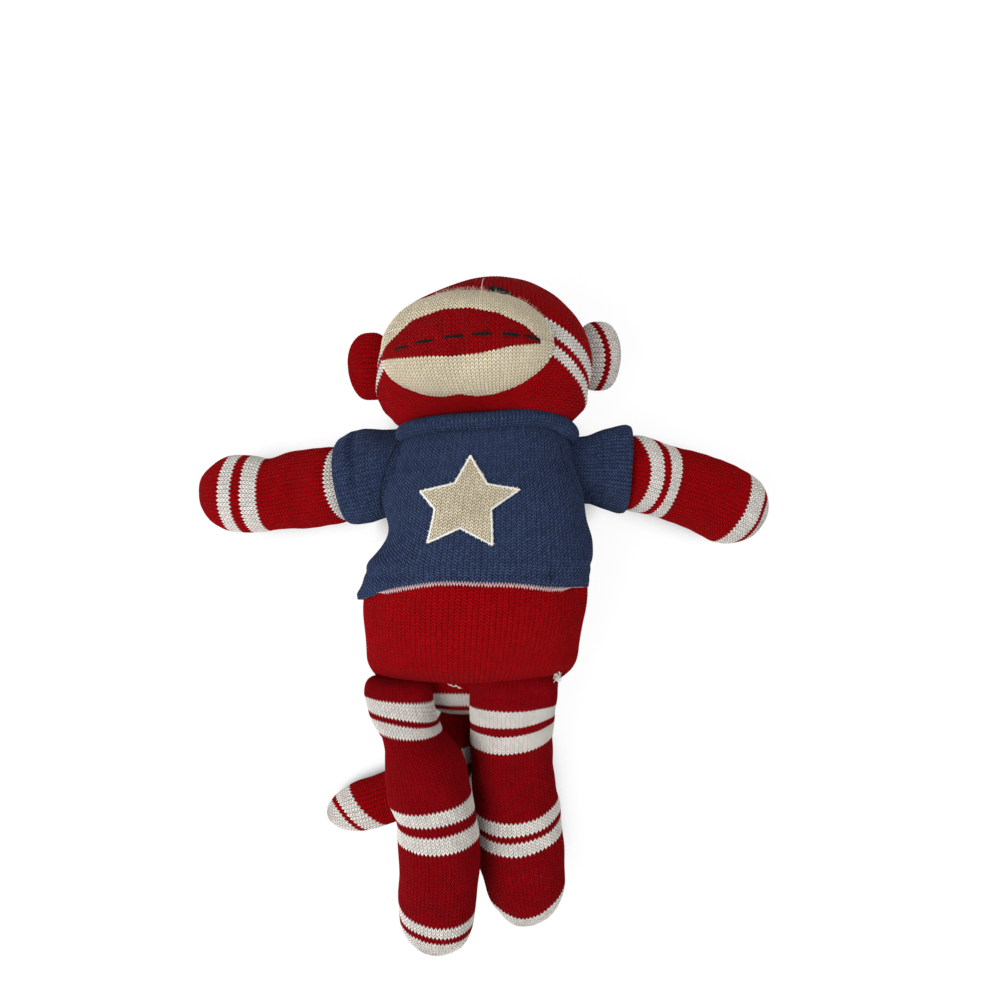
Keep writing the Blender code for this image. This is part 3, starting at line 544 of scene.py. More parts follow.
def knit_material(name, stops, courses, dark=0.9, power=1.05, speckle=0.26, fleck=(0.75, 0.30, 0.26),
                  flecks=0.06, bump=0.0010, sheen=0.01, patch=0.12, thin=0.8):
    """Plain knitting, with the stitches of knit(). Each stop gives the colour from one of the courses on."""
    made, tree, new, calc = new_material(name)
    places = []
    for layer in ("knit", "tone"):
        places.append(new("ShaderNodeSeparateXYZ"))
        tree.links.new(new("ShaderNodeUVMap", uv_map=layer).outputs[0], places[-1].inputs[0])
    wale, course, tone = places[0].outputs[0], places[0].outputs[1], places[1].outputs[0]
    side = calc("MULTIPLY", calc("ABSOLUTE", calc("SUBTRACT", calc("FRACT", wale), 0.5)), 2.0)
    raised = calc("MULTIPLY", side, SLOPE)
    shifted = calc("ADD", course, raised)
    phase = calc("FRACT", shifted)
    strand = calc("POWER", calc("SINE", calc("MULTIPLY", phase, math.pi)), thin)
    edge = calc("SQRT", calc("MAXIMUM", calc("SUBTRACT", 1.0, calc("POWER", side, 4.0)), 0.0))
    middle = calc("POWER", calc("SUBTRACT", 1.0, side), 4.0)
    leg = calc("MULTIPLY", edge, calc("SUBTRACT", 1.0, calc("MULTIPLY", middle, 0.35)))
    height = calc("ADD", calc("MULTIPLY", strand, calc("ADD", calc("MULTIPLY", leg, 0.45), 0.25)),
                  calc("MULTIPLY", leg, 0.30))
    row = calc("FLOOR", calc("ADD", tone, raised))
    at = calc("DIVIDE", calc("ADD", row, 0.5), float(courses), clamp=True)
    ramp = new("ShaderNodeValToRGB")
    ramp.color_ramp.interpolation = "CONSTANT"
    elements = ramp.color_ramp.elements
    elements[0].position = 0.0
    elements[0].color = (*stops[0][1], 1)
    elements.remove(elements[1])
    for start, colour in stops[1:]:
        element = elements.new(min(max(start / courses, 0.0), 1.0))
        element.color = (*colour, 1)
    tree.links.new(at, ramp.inputs[0])

    # Yarn: each stitch a little lighter or darker, shade between the strands, and pale fibres
    combined = new("ShaderNodeCombineXYZ")
    tree.links.new(calc("FLOOR", calc("MULTIPLY", wale, 2.0)), combined.inputs[0])
    tree.links.new(calc("FLOOR", shifted), combined.inputs[1])
    chance = new("ShaderNodeTexWhiteNoise", noise_dimensions="2D")
    tree.links.new(combined.outputs[0], chance.inputs[0])
    slow, fibre = noise(tree, new, 70.0, 3.0), noise(tree, new, 2600.0, 2.0)
    depth = calc("POWER", calc("SUBTRACT", 1.0, height, clamp=True), power)
    shade = calc("SUBTRACT", 1.0, calc("MULTIPLY", depth, dark))
    vary = calc("ADD", calc("MULTIPLY", calc("SUBTRACT", chance.outputs[0], 0.5), speckle), 1.0)
    drift = calc("ADD", calc("MULTIPLY", calc("SUBTRACT", slow, 0.5), 2 * patch), 1.0)
    amount = calc("MULTIPLY", calc("MULTIPLY", shade, vary), drift)
    scaled = new("ShaderNodeVectorMath", operation="SCALE")
    tree.links.new(ramp.outputs[0], scaled.inputs[0])
    tree.links.new(amount, scaled.inputs["Scale"])
    mix = new("ShaderNodeMix", data_type="RGBA")
    light = calc("MULTIPLY", calc("SUBTRACT", fibre, 0.58, clamp=True), 5.0, clamp=True)
    tree.links.new(calc("MULTIPLY", calc("MULTIPLY", light, flecks), height), mix.inputs["Factor"])
    tree.links.new(scaled.outputs[0], mix.inputs["A"])
    mix.inputs["B"].default_value = (*fleck, 1)
    fuzz = calc("ADD", height, calc("MULTIPLY", fibre, 0.30))
    finish_yarn(tree, new, mix.outputs["Result"], fuzz, 0.9, bump, Roughness=0.92, Specular_IOR_Level=0.02,
                Sheen_Weight=sheen, Sheen_Roughness=0.45)
    return made


FIBRE_SCALE = 2500.0


def thread_material(name, colour, dark=0.35, sheen=0.1):
    """Spun thread: fine fibres along it, lighter and darker."""
    made, tree, new, _ = new_material(name)
    fibres = noise(tree, new, FIBRE_SCALE, 3.0)
    ramp = new("ShaderNodeValToRGB")
    for element, position, factor in zip(ramp.color_ramp.elements, (0.35, 0.65), (1 - dark, 1 + dark)):
        element.position = position
        element.color = (*(min(1.0, c * factor) for c in colour), 1)
    tree.links.new(fibres, ramp.inputs[0])
    finish_yarn(tree, new, ramp.outputs[0], fibres, 0.6, 0.0002, Roughness=0.9, Specular_IOR_Level=0.12,
                Sheen_Weight=sheen)
    return made


RED = (0.365, 0.0010, 0.0035)
# The legs' red is darker than the rest of the red: painted shade, for the legs lying less lit than the arms
# and head
LEG_RED_PAINTED_SHADE = (0.285, 0.0010, 0.0045)
WHITE = (0.91, 0.86, 0.80)
CREAM = (0.98, 0.85, 0.62)
BLUE = (0.062, 0.098, 0.222)
THREAD_BLACK = (0.006, 0.005, 0.005)


def stripes(table, course_at, base=RED, other=WHITE):
    """Colour stops from (start, end) stretches in metres along the middle that have the other colour."""
    stops = [(0.0, base)]
    for start, end in table:
        first, last = round(course_at(start)), round(course_at(end))
        stops += [(first, other), (max(last, first + 1), base)]
    return stops


def dress(obj, material, body=None):
    obj.data.materials.clear()
    obj.data.materials.append(material)
    if body:
        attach(obj, body)
    return obj


# Torso: bare knitting below the sweater, and coarser rings under it

TORSO_FINE_SHARE = 0.60

def crotch(points):
    """The belly's lower lip, and below it the smaller space between the legs."""
    x, y, z = (points[..., i].copy() for i in range(3))
    crease = -0.0305 - 0.0012 * np.cos((x + 0.014) / 0.020)
    past = ease((crease - y) / 0.0045)
    high = np.maximum(z - 0.036, 0.0)
    z = z - past * high * 0.72
    # The lip just above the crease stands out a little
    z = z + 0.0012 * hump(y - crease, 0.006, 0.005) * (z > 0.03)
    y = y - 0.0035 * ease((-0.040 - y) / 0.010) * hump(x, -0.0145, 0.018) * (z > 0.015)
    return np.stack([x, y, z], -1)


def make_torso():
    per_wale, wales = 4, 128
    columns = per_wale * wales
    turns = circle(columns)
    share = [0.0006]
    while share[-1] < TORSO_FINE_SHARE:
        x = share[-1]
        a, b = torso_sizes(np.array(x)), torso_sizes(np.array(x + 0.001))
        slope = math.hypot(0.001 * TORSO_LENGTH, 0.6 * float(b[0] - a[0]) + 0.4 * float(b[1] - a[1])) / 0.001
        share.append(x + COURSE / 3 / slope)
    rest = 0.9995 - TORSO_FINE_SHARE
    share += [TORSO_FINE_SHARE + rest * math.sin(math.pi / 2 * k / 22) for k in range(1, 23)]
    share = np.array(share)
    points = torso_ring(share[:, None], turns[None, :])
    far = ring_distances(points)
    wale = wales_across(len(share), columns, per_wale)
    course = courses_along(far, columns)
    normal = normals_of(points)
    # Under the sweater it is drawn in with it
    tucked = np.minimum(body_folds(share[:, None], turns[None, :]), 0.0) - 0.0006
    soft = 0.0008 * lumps(points, 0.016, 2.0) * ease(far / 0.01)[:, None]
    under = ease((share - 0.50) / 0.06)[:, None]
    level = np.cos(turns)[None, :] ** 2
    low = hump(share, 0.175, 0.07)[:, None]
    soft = soft + level * low * (0.0022 + 0.0016 * (np.cos(turns)[None, :] > 0))
    points = crotch(points + normal * (soft * (1 - under) + tucked * under)[..., None])
    tone = np.clip((-0.035 - points[..., 1]) / COURSE + LEAD, 0, None)
    shown = 1 - ease((share - 0.57) / 0.03)[:, None]
    points = raise_surface(points, (knit(wale, course) - 1) * TUBE_RELIEF * shown)
    obj = grid_mesh("torso", points, wale, course, tone, points[0].mean(axis=0), points[-1].mean(axis=0))
    stops = [(0, RED), (15, WHITE), (19, RED), (21, WHITE), (23, RED)]
    dress(obj, knit_material("torso_knit", stops, 60), "torso")
    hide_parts("torso_skin", "torso_stuffing")
    return obj


# Head

def head_stations(step):
    stations = []
    for k in range(1, 16):
        angle = math.pi / 2 * k / 16
        radius = NECK_RADIUS * math.sin(angle)
        stations.append((NECK - UP * (NECK_RADIUS * math.cos(angle)), SIDE, FRONT, radius, radius))
    x, places = 0.0, []
    while x < 0.9993:
        places.append(x)
        a, b = smooth_rows(SKULL_ROWS, x), smooth_rows(SKULL_ROWS, min(x + 0.0005, 1.0))
        run = HEAD_LENGTH * 0.0005
        rise = (abs(b[0] - a[0]) * HEAD_WIDTH / 2 + abs(b[1] - a[1]) * HEAD_DEPTH / 2) / 2
        x += step * 0.0005 / math.hypot(run, rise)
    for x in places + [0.9997]:
        width, depth, _ = smooth_rows(SKULL_ROWS, x)
        low = NECK_RADIUS if x < 0.02 else 0.0
        stations.append((NECK + UP * (HEAD_LENGTH * x), SIDE, FRONT,
                         max(width * HEAD_WIDTH / 2, low), max(depth * HEAD_DEPTH / 2, low)))
    return stations


# Where the stuffing fills the head out or leaves it slack: direction, spread in radians and height
HEAD_SWELLS = (
    ((-0.60, 0.80, 0.10), 0.55, -0.0030),
    ((-0.93, -0.36, 0.05), 0.36, 0.0024),
    ((0.94, -0.34, 0.05), 0.12, -0.0019),
    ((0.74, -0.67, 0.05), 0.15, 0.0050),
    ((-0.94, -0.34, 0.05), 0.10, 0.0008),
    ((-0.855, -0.52, 0.05), 0.10, -0.0016),
    ((-0.74, -0.67, 0.05), 0.15, 0.0040),
)


def swell_head(points):
    out = points - HEAD
    flat = unit(out * (1.0, 1.0, 0.6))
    grown = np.zeros(points.shape[:-1])
    for way, spread, height in HEAD_SWELLS:
        angle = np.arccos(np.clip(flat @ unit(vec(way)), -1, 1))
        grown += height * hump(angle, 0, spread)
    return points + unit(out) * grown[..., None]


# The head's courses lie across this direction, leaning back from the crown, and are counted at this radius
SLANT = unit(UP - 0.682 * FRONT)
SKULL_RADIUS = 0.0515


def make_head():
    per_wale, wales = 6, 128
    columns = per_wale * wales
    base = stack_rings(head_stations(0.0014), 160)
    coarse = grid_mesh("head_base", base, np.zeros(base.shape[:2]), np.zeros(base.shape[:2]), None,
                       base[0].mean(axis=0), base[-1].mean(axis=0))
    tree = tree_of(coarse)
    bpy.data.objects.remove(coarse)
    # Angles from under the chin, closer together where the face and the stripes are
    even = np.linspace(0, 1, 190)
    angle = np.pi * (even + 0.035 * np.sin(2 * np.pi * even))
    angle = np.clip(angle, 0.006, np.pi - 0.006)
    turns = circle(columns)
    across = unit(np.cross(SLANT, SIDE))
    points = np.empty((len(angle), columns, 3))
    centre = Vector(HEAD)
    for i, a in enumerate(angle):
        ring = oval(SIDE, across, math.sin(a), math.sin(a), turns) - SLANT * math.cos(a)
        for j in range(columns):
            points[i, j] = tree.ray_cast(centre, Vector(ring[j]))[0]
    points = swell_head(points)
    wale = wales_across(len(points), columns, per_wale)
    course = courses_along(angle * SKULL_RADIUS, columns)
    near = ease(np.sin(angle) / 0.5)[:, None]
    points = raise_surface(points, (ribs(wale) - 1) * HEAD_RELIEF * near + 0.0006 * lumps(points, 0.018, 5.0))
    obj = grid_mesh("head", points, wale, course, None, points[0].mean(axis=0), points[-1].mean(axis=0))
    stops = [(0, RED), (35, WHITE), (38, RED), (40, WHITE), (44, RED)]
    dress(obj, knit_material("head_knit", stops, 100), "head")
    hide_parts("head_skin", "head_stuffing")
    return obj


MUZZLE_FRONT = FRONT * math.cos(MUZZLE_PITCH) + UP * math.sin(MUZZLE_PITCH)
MUZZLE_UP = np.cross(MUZZLE_FRONT, SIDE)
MUZZLE = HEAD + MUZZLE_FRONT * (HEAD_DEPTH / 2 - MUZZLE_SINK) + SIDE * MUZZLE_SHIFT
# The red mouth's upper and lower edge on the muzzle, and where it ends at the doll's left
LIP_END = 0.0385
LIP_TOP = (
    (-0.0435, -0.0050), (-0.0411, -0.0046), (-0.0288, 0.0030), (-0.0193, 0.0095), (-0.0043, 0.0134),
    (0.0077, 0.0134), (0.0205, 0.0108), (0.0324, 0.0048), (0.0383, -0.0010), (0.0400, -0.0030),
)
LIP_BOTTOM = (
    (-0.0435, -0.0051), (-0.0411, -0.0060), (-0.0238, -0.0070), (-0.0118, -0.0070), (-0.0005, -0.0078),
    (0.0137, -0.0066), (0.0270, -0.0038), (0.0383, -0.0022), (0.0400, -0.0031),
)


def make_muzzle():
    columns, rings = 460, 104
    turns = circle(columns)
    angle = (np.pi * (0.42 + 0.58 * np.arange(rings) / rings))[:, None]
    swell = np.sin(angle) ** 0.8
    # A shallow notch below the middle, where the seam draws in
    dent = 1 - 0.045 * hump(np.cos(turns), -0.03, 0.14) * (np.sin(turns) < 0)
    # The lower corner at the doll's right is fuller than a plain oval
    full = 1 + 0.035 * hump(turns, math.radians(214), 0.34) - 0.012 * hump(turns, math.radians(146), 0.30)
    a = MUZZLE_WIDTH / 2 * swell * np.cos(turns) * full
    b = MUZZLE_HEIGHT / 2 * swell * np.sin(turns) * dent * full
    depth = -MUZZLE_DEPTH * np.cos(angle) * np.ones_like(turns)
    points = MUZZLE + SIDE * a[..., None] + MUZZLE_UP * b[..., None] + MUZZLE_FRONT * depth[..., None]
    # Stretched over the dome, the rows are a little further apart towards the edge
    reach = np.sqrt((a / (MUZZLE_WIDTH / 2)) ** 2 + (b / (MUZZLE_HEIGHT / 2)) ** 2)
    stretch = 1 + 0.25 * reach**4
    wale = a / MUZZLE_WALE * stretch + 40
    course = b / COURSE * stretch + 40
    top, bottom = (np.interp(a, *zip(*edge)) for edge in (LIP_TOP, LIP_BOTTOM))
    inside = np.minimum(top - b, b - bottom) * (depth > 0) - 0.02 * (depth <= 0)
    inside = np.where(a > LIP_END, -0.01, inside)
    tone = inside / (COURSE * 0.5) + 20
    # The lips part at a shallow groove, and the seams of the red draw in
    line = hump(np.abs(inside), 0, 0.0012) * (depth > 0) * (a < LIP_END)
    soft = 0.0006 * lumps(points, 0.014, 1.0) - 0.0004 * line
    points = points + normals_of(points) * ((knit(wale, course) - 1) * MUZZLE_RELIEF + soft)[..., None]
    obj = grid_mesh("muzzle", points, wale, course, tone, None, points[-1].mean(axis=0))
    material = knit_material("muzzle_knit", [(0.0, CREAM), (20, RED)], 60, dark=0.96, power=0.95,
                             speckle=0.16, fleck=(0.85, 0.72, 0.62), flecks=0.10)
    dress(obj, material, "head")
    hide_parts("muzzle_skin", "muzzle_stuffing")
    return obj


def ear_hinge(side_name):
    turn, share = EAR_FORWARD[side_name], EAR_PLACE[side_name]
    out = unit(SIDE * (sign(side_name) * math.cos(turn)) + FRONT * math.sin(turn))
    width, depth, _ = smooth_rows(SKULL_ROWS, share)
    reach = math.hypot(math.cos(turn) / (width * HEAD_WIDTH / 2), math.sin(turn) / (depth * HEAD_DEPTH / 2))
    place = NECK + UP * (HEAD_LENGTH * share) + out * (1 / reach - EAR_SEAM_RADIUS / 2)
    return place, out, unit(np.cross(UP, out))


def make_ear(side_name):
    place, out, forward = ear_hinge(side_name)
    stations = []
    for k in range(64):
        share = 0.5 - 0.5 * math.cos(math.pi * (k + 0.8) / 64.8)
        reach = share * (EAR_LENGTH + EAR_SEAM_RADIUS) - EAR_SEAM_RADIUS
        round_share = math.sqrt(max(0.0, 1 - abs(2 * share - 1) ** 2.6))
        height = 0.25 + 0.75 * round_share if share < 0.5 else round_share
        thick = math.sqrt(max(0.0, 1 - (share / 0.62 - 1) ** 2)) if share < 0.62 else round_share
        half_thick = EAR_THICKNESS / 2 * thick
        if reach <= 0:
            half_thick = math.sqrt(max(EAR_SEAM_RADIUS**2 - reach**2, 0.0))
        stations.append((place + out * reach, UP, forward, EAR_HEIGHT / 2 * height, half_thick))
    start, end = place - out * EAR_SEAM_RADIUS, place + out * EAR_LENGTH

    def bow(along, turns):
        # Courses reach further out in the middle of the ear than at its ends
        return np.outer(np.ones_like(along), 0.0055 * np.cos(turns) ** 2 + 0.0012 * np.cos(turns))

    obj, course_at = knitted_tube(f"ear_{side_name}_knit", stations, 42, 7, start, end, relief=0.0006,
                                  soft=0.0004, seed=3.0, seam=EAR_SEAM_RADIUS,
                                  bow=bow if side_name == "left" else None)
    if side_name == "left":
        material = knit_material("ear_left_yarn", stripes(BANDS["ear_left"], course_at), 60)
    else:
        material = knit_material("ear_right_yarn", [(0.0, RED)], 60, dark=0.85, power=1.1)
    dress(obj, material, f"ear_{side_name}")
    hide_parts(f"ear_{side_name}")
    return obj


def seam_cap(line, width, depth, count):
    """The rings that close a limb's seam end, before its line starts."""
    place, along, across = line.frame(0.0)
    for k in range(1, count):
        back = 1 - k / count
        factor = math.sqrt(1 - back**2)
        yield place - along * (width * back), across, Z, width * factor, depth * factor


# The stretches of white on the limbs and on one ear, in metres along each
BANDS = {
    "arm_right": [(0.0130, 0.0222), (0.0658, 0.0743), (0.0785, 0.0865)],
    "arm_left": [(0.0252, 0.0337), (0.0380, 0.0470), (0.0858, 0.0945), (0.0970, 0.2)],
    "leg_right": [(-0.0004, 0.0083), (0.0115, 0.0182), (0.0552, 0.0621), (0.0662, 0.0747), (0.1103, 0.1164),
                  (0.1198, 0.2)],
    "leg_left": [(0.0078, 0.0203), (0.0268, 0.0408), (0.0768, 0.0840), (0.0876, 0.0948), (0.1278, 0.2)],
    "tail": [(0.018, 0.026), (0.0795, 0.0905), (0.0940, 0.2)],
    "ear_left": [(-0.01, 0.0115), (0.0145, 0.050)],
}


def limb_material(name, course_at, courses, base=RED):
    return knit_material(f"{name}_knit", stripes(BANDS[name], course_at, base), courses)


# Less stuffing along one edge of each arm, as a crease at one wrist: depth, place and spread
ARM_SLACK = {"right": (0.0013, 0.062, 0.007), "left": (0.0011, 0.045, 0.022)}
# How far the courses of each arm lean, and how far they are drawn back at its two sides
ARM_COURSES = {"left": (0.0020, 0.0025), "right": (0.0008, 0.0008)}


def make_arm(side_name):
    line = arm_line(side_name)
    half, seam_w, seam_d = ARM_WIDTH / 2, ARM_SEAM_WIDTH / 2, ARM_SEAM_DEPTH / 2
    place, along, _ = line.frame(0.0)
    stations = list(seam_cap(line, seam_w, seam_d, 12))
    for t in tip_places(COURSE / 3, ARM_LENGTH, ARM_TIP_SHARE):
        middle, way, level = line.frame(t)
        grown, tip = float(ease(t / ARM_GROW_SHARE)), tip_round(t, ARM_TIP_SHARE)
        width = (seam_w + (half - seam_w) * grown) * tip
        depth = (seam_d + (half - seam_d) * grown) * tip
        headward = level * (1 if level[1] > 0 else -1)
        slack, at, spread = ARM_SLACK[side_name]
        less = slack * hump(t * ARM_LENGTH, at, spread)
        stations.append((middle - headward * less, level, np.cross(level, way), width - less, depth))
    lean, curve = ARM_COURSES[side_name]

    def bow(far, turns):
        across = np.cos(turns)
        return np.outer(np.ones_like(far), lean * across * -sign(side_name) + curve * across**2)

    name = f"arm_{side_name}"
    obj, course_at = knitted_tube(name, stations, 56, 6, place - along * seam_w, line.place(1.0), bow=bow,
                                  seed=1.0 + sign(side_name), seam=ARM_SEAM_WIDTH / 2, soft=0.0007)
    dress(obj, limb_material(name, course_at, 120), name)
    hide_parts(f"{name}_skin", f"{name}_stuffing")
    return obj


# The soft lip at a leg's top, over the belly's edge
LEG_LIP = 0.0125
LEG_LIP_DEPTH = 0.0135
LEG_LIP_RISE = 0.002
LEG_LIP_RINGS = 28
# How much shorter each leg is than its line
LEG_SHORT = {"left": 0.0013, "right": 0.0018}
# Where each leg's two edges show from above: row, and the two places across, as the camera sees them
LEG_EDGES = {
    "right": (
        (684, 364, 432), (693, 364, 433), (709, 369, 435), (726, 381, 439), (740, 384, 444), (748, 384, 452),
        (757, 384, 459), (765, 384, 464), (773, 385, 467), (787, 387, 470), (800, 392, 472), (813, 396, 475.5),
        (834, 398, 479), (857, 399, 481), (895, 399, 477), (915, 399, 475),
    ),
    "left": (
        (680, 469, 560), (687, 469, 558), (711, 469.5, 555), (740, 470, 553), (765, 471, 553), (793, 473, 557),
        (807, 474, 560), (834, 476, 563), (860, 479, 565), (885, 486, 565), (903, 492, 564),
    ),
}


def leg_edges(side_name, middle):
    """The middle across and half the width that the leg's edges give at a station."""
    reach = (CAMERA_HEIGHT - middle[2]) / FOCAL
    row = PICTURE_MIDDLE - (middle[1] - CAMERA[1]) / reach
    rows = LEG_EDGES[side_name]
    low, high = (np.interp(row, [r[0] for r in rows], [r[k] for r in rows]) for k in (1, 2))
    low, high = (CAMERA[0] + (x - PICTURE_MIDDLE) * reach for x in (low, high))
    return (low + high) / 2, (high - low) / 2


def make_leg(side_name):
    line = leg_line(side_name)
    half, short = LEG_WIDTH / 2, LEG_SHORT[side_name]
    place, way, _ = line.frame(0.0)
    top = place - way * LEG_LIP + Z * LEG_LIP_RISE
    stations = []
    for k in range(1, LEG_LIP_RINGS):
        share = 1 - k / LEG_LIP_RINGS
        rounded = math.sqrt(max(1 - share**3.2, 0.0))
        spot = place - way * (LEG_LIP * share) + Z * (LEG_LIP_RISE * share)
        x, half_width = leg_edges(side_name, spot)
        stations.append((vec((x, spot[1], spot[2])), vec((1, 0, 0)), Z, half_width * (0.62 + 0.38 * rounded),
                         LEG_LIP_DEPTH * rounded))
    top[0] = stations[0][0][0]
    for t in tip_places(COURSE / 3, LEG_LENGTH, LEG_TIP_SHARE):
        middle, _, level = line.frame(t)
        level = level if level[0] > 0 else -level
        level = unit(vec((1, 0, 0)) * (1 - ease(t / 0.15)) + level * ease(t / 0.15))
        grown, tip = float(ease(t / LEG_GROW_SHARE)), tip_round(t, LEG_TIP_SHARE)
        middle[1] += short * float(ease((t - 0.80) / 0.20))
        x, half_width = leg_edges(side_name, middle)
        depth = (LEG_LIP_DEPTH + (half - LEG_LIP_DEPTH) * grown) * tip
        stations.append((vec((x, middle[1], middle[2])), level, Z, half_width * tip, depth))

    def bow(far, turns):
        # Courses hang lower in the middle of the front than at the sides
        if side_name == "left":
            begun = ease(far / 0.03)
            slant, drop = 0.0010 * begun, 0.0030 * begun + 0.0050 * ease((far - 0.10) / 0.025)
        else:
            slant = -0.0072 * hump(far, 0.0125, 0.0105) - 0.0020 * ease((far - 0.03) / 0.02)
            drop = -0.0028 * hump(far, 0.0180, 0.008)
        return np.outer(slant, np.cos(turns)) + np.outer(drop, np.cos(turns) ** 2)

    name = f"leg_{side_name}"
    tip_end = line.place(1.0) + vec((0, short, 0))
    obj, course_at = knitted_tube(name, stations, 62, 6, top, tip_end, bow=bow, seed=4.0 + sign(side_name),
                                  seam=LEG_LIP * (LEG_LIP_RINGS - 1) / LEG_LIP_RINGS, soft=0.0007)
    dress(obj, limb_material(name, course_at, 130, LEG_RED_PAINTED_SHADE), None)
    start, end = place - way * (LEG_LIP * 0.6), place + way * 0.016
    tuple(start)
    tuple(end)
    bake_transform(obj)
    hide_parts(f"{name}_skin", f"{name}_stuffing")
    return obj


def make_tail():
    line = tail_line()
    place, along, _ = line.frame(0.0)
    stations = list(seam_cap(line, TAIL_SEAM_RADIUS, TAIL_SEAM_RADIUS, 10))
    for t in tip_places(COURSE / 3, TAIL_LENGTH, TAIL_TIP_SHARE):
        middle, _, level = line.frame(t)
        grown, tip = float(ease(t / TAIL_GROW_SHARE)), tip_round(t, TAIL_TIP_SHARE)
        width = (TAIL_SEAM_RADIUS + (TAIL_WIDTH / 2 - TAIL_SEAM_RADIUS) * grown) * tip
        depth = (TAIL_SEAM_RADIUS + (TAIL_DEPTH / 2 - TAIL_SEAM_RADIUS) * grown) * tip
        # It is fuller on the outside of its bend
        bend = hump(t, 0.40, 0.15)
        middle = middle + vec((0.0040, -0.0028, 0)) * bend
        stations.append((middle, level, Z, width + 0.0018 * bend, depth))

    def bow(far, turns):
        return np.outer(0.004 + 0.004 * ease((far - 0.05) / 0.03), -np.cos(turns))

    obj, course_at = knitted_tube("tail", stations, 34, 6, place - along * TAIL_SEAM_RADIUS, line.place(1.0),
                                  bow=bow, seed=7.0, seam=TAIL_SEAM_RADIUS)
    dress(obj, limb_material("tail", course_at, 110), "tail")
    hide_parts("tail_skin", "tail_stuffing")
    return obj


# Sweater

BLUE_KNIT = knit_material("sweater_yarn", [(0.0, BLUE)], 200, dark=1.0, power=0.75, speckle=0.5, thin=1.9,
                          fleck=(0.26, 0.34, 0.50), flecks=0.30, bump=0.0013, sheen=0.02, patch=0.10)

# The sweater's folds at its sides: height, side (1 for the doll's left), narrowness, place along the torso
# and spread
FOLDS = (
    (0.0028, -1, 2, 0.440, 0.030), (-0.0085, -1, 2, 0.645, 0.085), (0.0018, 1, 2, 0.610, 0.055),
    (0.0006, 1, 3, 0.445, 0.015), (-0.0007, 1, 2, 0.482, 0.022),
)


def body_folds(share, turns):
    """How far the sweater's cloth stands off the torso, beyond its own thickness."""
    out = 0.0004 * np.sin(26 * share + 2 * turns) - 0.0004 * np.clip(np.cos(turns), 0, 1) ** 2
    for height, side, narrow, place, spread in FOLDS:
        out = out + height * np.clip(side * np.cos(turns), 0, 1) ** narrow * hump(share, place, spread)
    # Two folds across the front, and creases round the back above the hem
    out = out + 0.0012 * hump(share, 0.555, 0.022) * (0.5 + 0.5 * np.sin(turns - 0.5))
    out = out - 0.0011 * hump(share, 0.522, 0.012) * (0.5 + 0.5 * np.sin(turns))
    return out + 0.0007 * np.sin(9 * turns + 3) * hump(share, 0.50, 0.06) * (np.sin(turns) < 0.8)


# Where the sweater leaves the torso's own curve and stands up to the collar, and its size there
YOKE, YOKE_TOP = 0.87, 1.0
YOKE_WIDTH, YOKE_DEPTH, YOKE_HEIGHT = 0.0425, 0.0372, 0.0422


def sweater_sizes(share):
    """Half width, half depth and middle height of the torso, as the sweater bridges it at the neck."""
    width, depth, height = torso_sizes(np.minimum(share, YOKE))
    past = ease((share - YOKE) / (YOKE_TOP - YOKE))
    width = width + (YOKE_WIDTH - GAP - SWEATER - width) * past
    depth = depth + (YOKE_DEPTH - GAP - SWEATER - depth) * past
    return width, depth, height + (YOKE_HEIGHT - height) * past


def body_surface(share, turns, off):
    width, depth, height = sweater_sizes(share)
    out = off + body_folds(share, turns)
    middle = SEAT + torso_axis() * (TORSO_LENGTH * share)[..., None]
    middle[..., 2] = height
    normal = unit(oval(torso_side(), Z, 1 / width, 1 / depth, turns))
    return middle + oval(torso_side(), Z, width, depth, turns) + normal * out[..., None]


# Where the hem is uneven: how far, at which side (1 for the doll's left) and how wide
HEM_DROPS = ((0.012, -0.30, 0.33), (-0.0145, 0.68, 0.28), (-0.019, -1, 0.16), (-0.004, 1, 0.10))


def hem_share(turns):
    """Where the hem is along the torso, at turns round it."""
    front, side = np.clip(np.sin(turns), 0, 1), np.cos(turns)
    uneven = sum(drop * hump(side, place, spread) for drop, place, spread in HEM_DROPS)
    return 0.457 + 0.043 * front**1.5 + 0.004 * side + uneven * ease((np.sin(turns) + 0.6) / 0.5)


ARMHOLE_RADIUS = 0.0165


def make_sweater_body():
    per_wale, wales = 6, 132
    columns, rings = per_wale * wales, 116
    turns = circle(columns)
    hem = hem_share(turns)
    top = 0.963 + collar_rise(turns) / TORSO_LENGTH
    v = np.arange(rings)[:, None] / (rings - 1)
    share = hem + (top - hem) * v
    turn_grid = np.tile(turns, (rings, 1))
    points = body_surface(share, turn_grid, GAP + SWEATER)
    far = ring_distances(points)
    wale = wales_across(rings, columns, per_wale)
    course = courses_along(far, columns, FINE_COURSE) + LEAD
    # The edge rolls in at the hem
    roll = -0.0010 * (1 - ease(far / 0.003))[:, None]
    points = raise_surface(points, (ribs(wale) - 1) * SWEATER_RELIEF + roll)
    obj = grid_mesh("sweater_knit", points, wale, course)
    # Armholes, under the sleeves
    mesh = bmesh.new()
    mesh.from_mesh(obj.data)
    centres = [Vector(shoulder(name)) for name in SIDES]
    gone = [face for face in mesh.faces
            if min((face.calc_center_median() - centre).length for centre in centres) < ARMHOLE_RADIUS]
    bmesh.ops.delete(mesh, geom=gone, context="FACES")
    mesh.to_mesh(obj.data)
    mesh.free()
    apply_thickness(obj, 0.0016)
    dress(obj, BLUE_KNIT, "torso")
    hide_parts("sweater_body")
    stitches = make_serging(hem)
    return obj


# One tooth of the overlock thread: shares of a turn and of its depth, and its distance off the torso
TOOTH = ((-0.5, -0.35, 0.0010), (-0.16, 0.55, 0.0012), (0.0, 1.0, 0.0006), (0.16, 0.55, 0.0012),
         (0.5, -0.35, 0.0010))
HEM_TEETH = 250


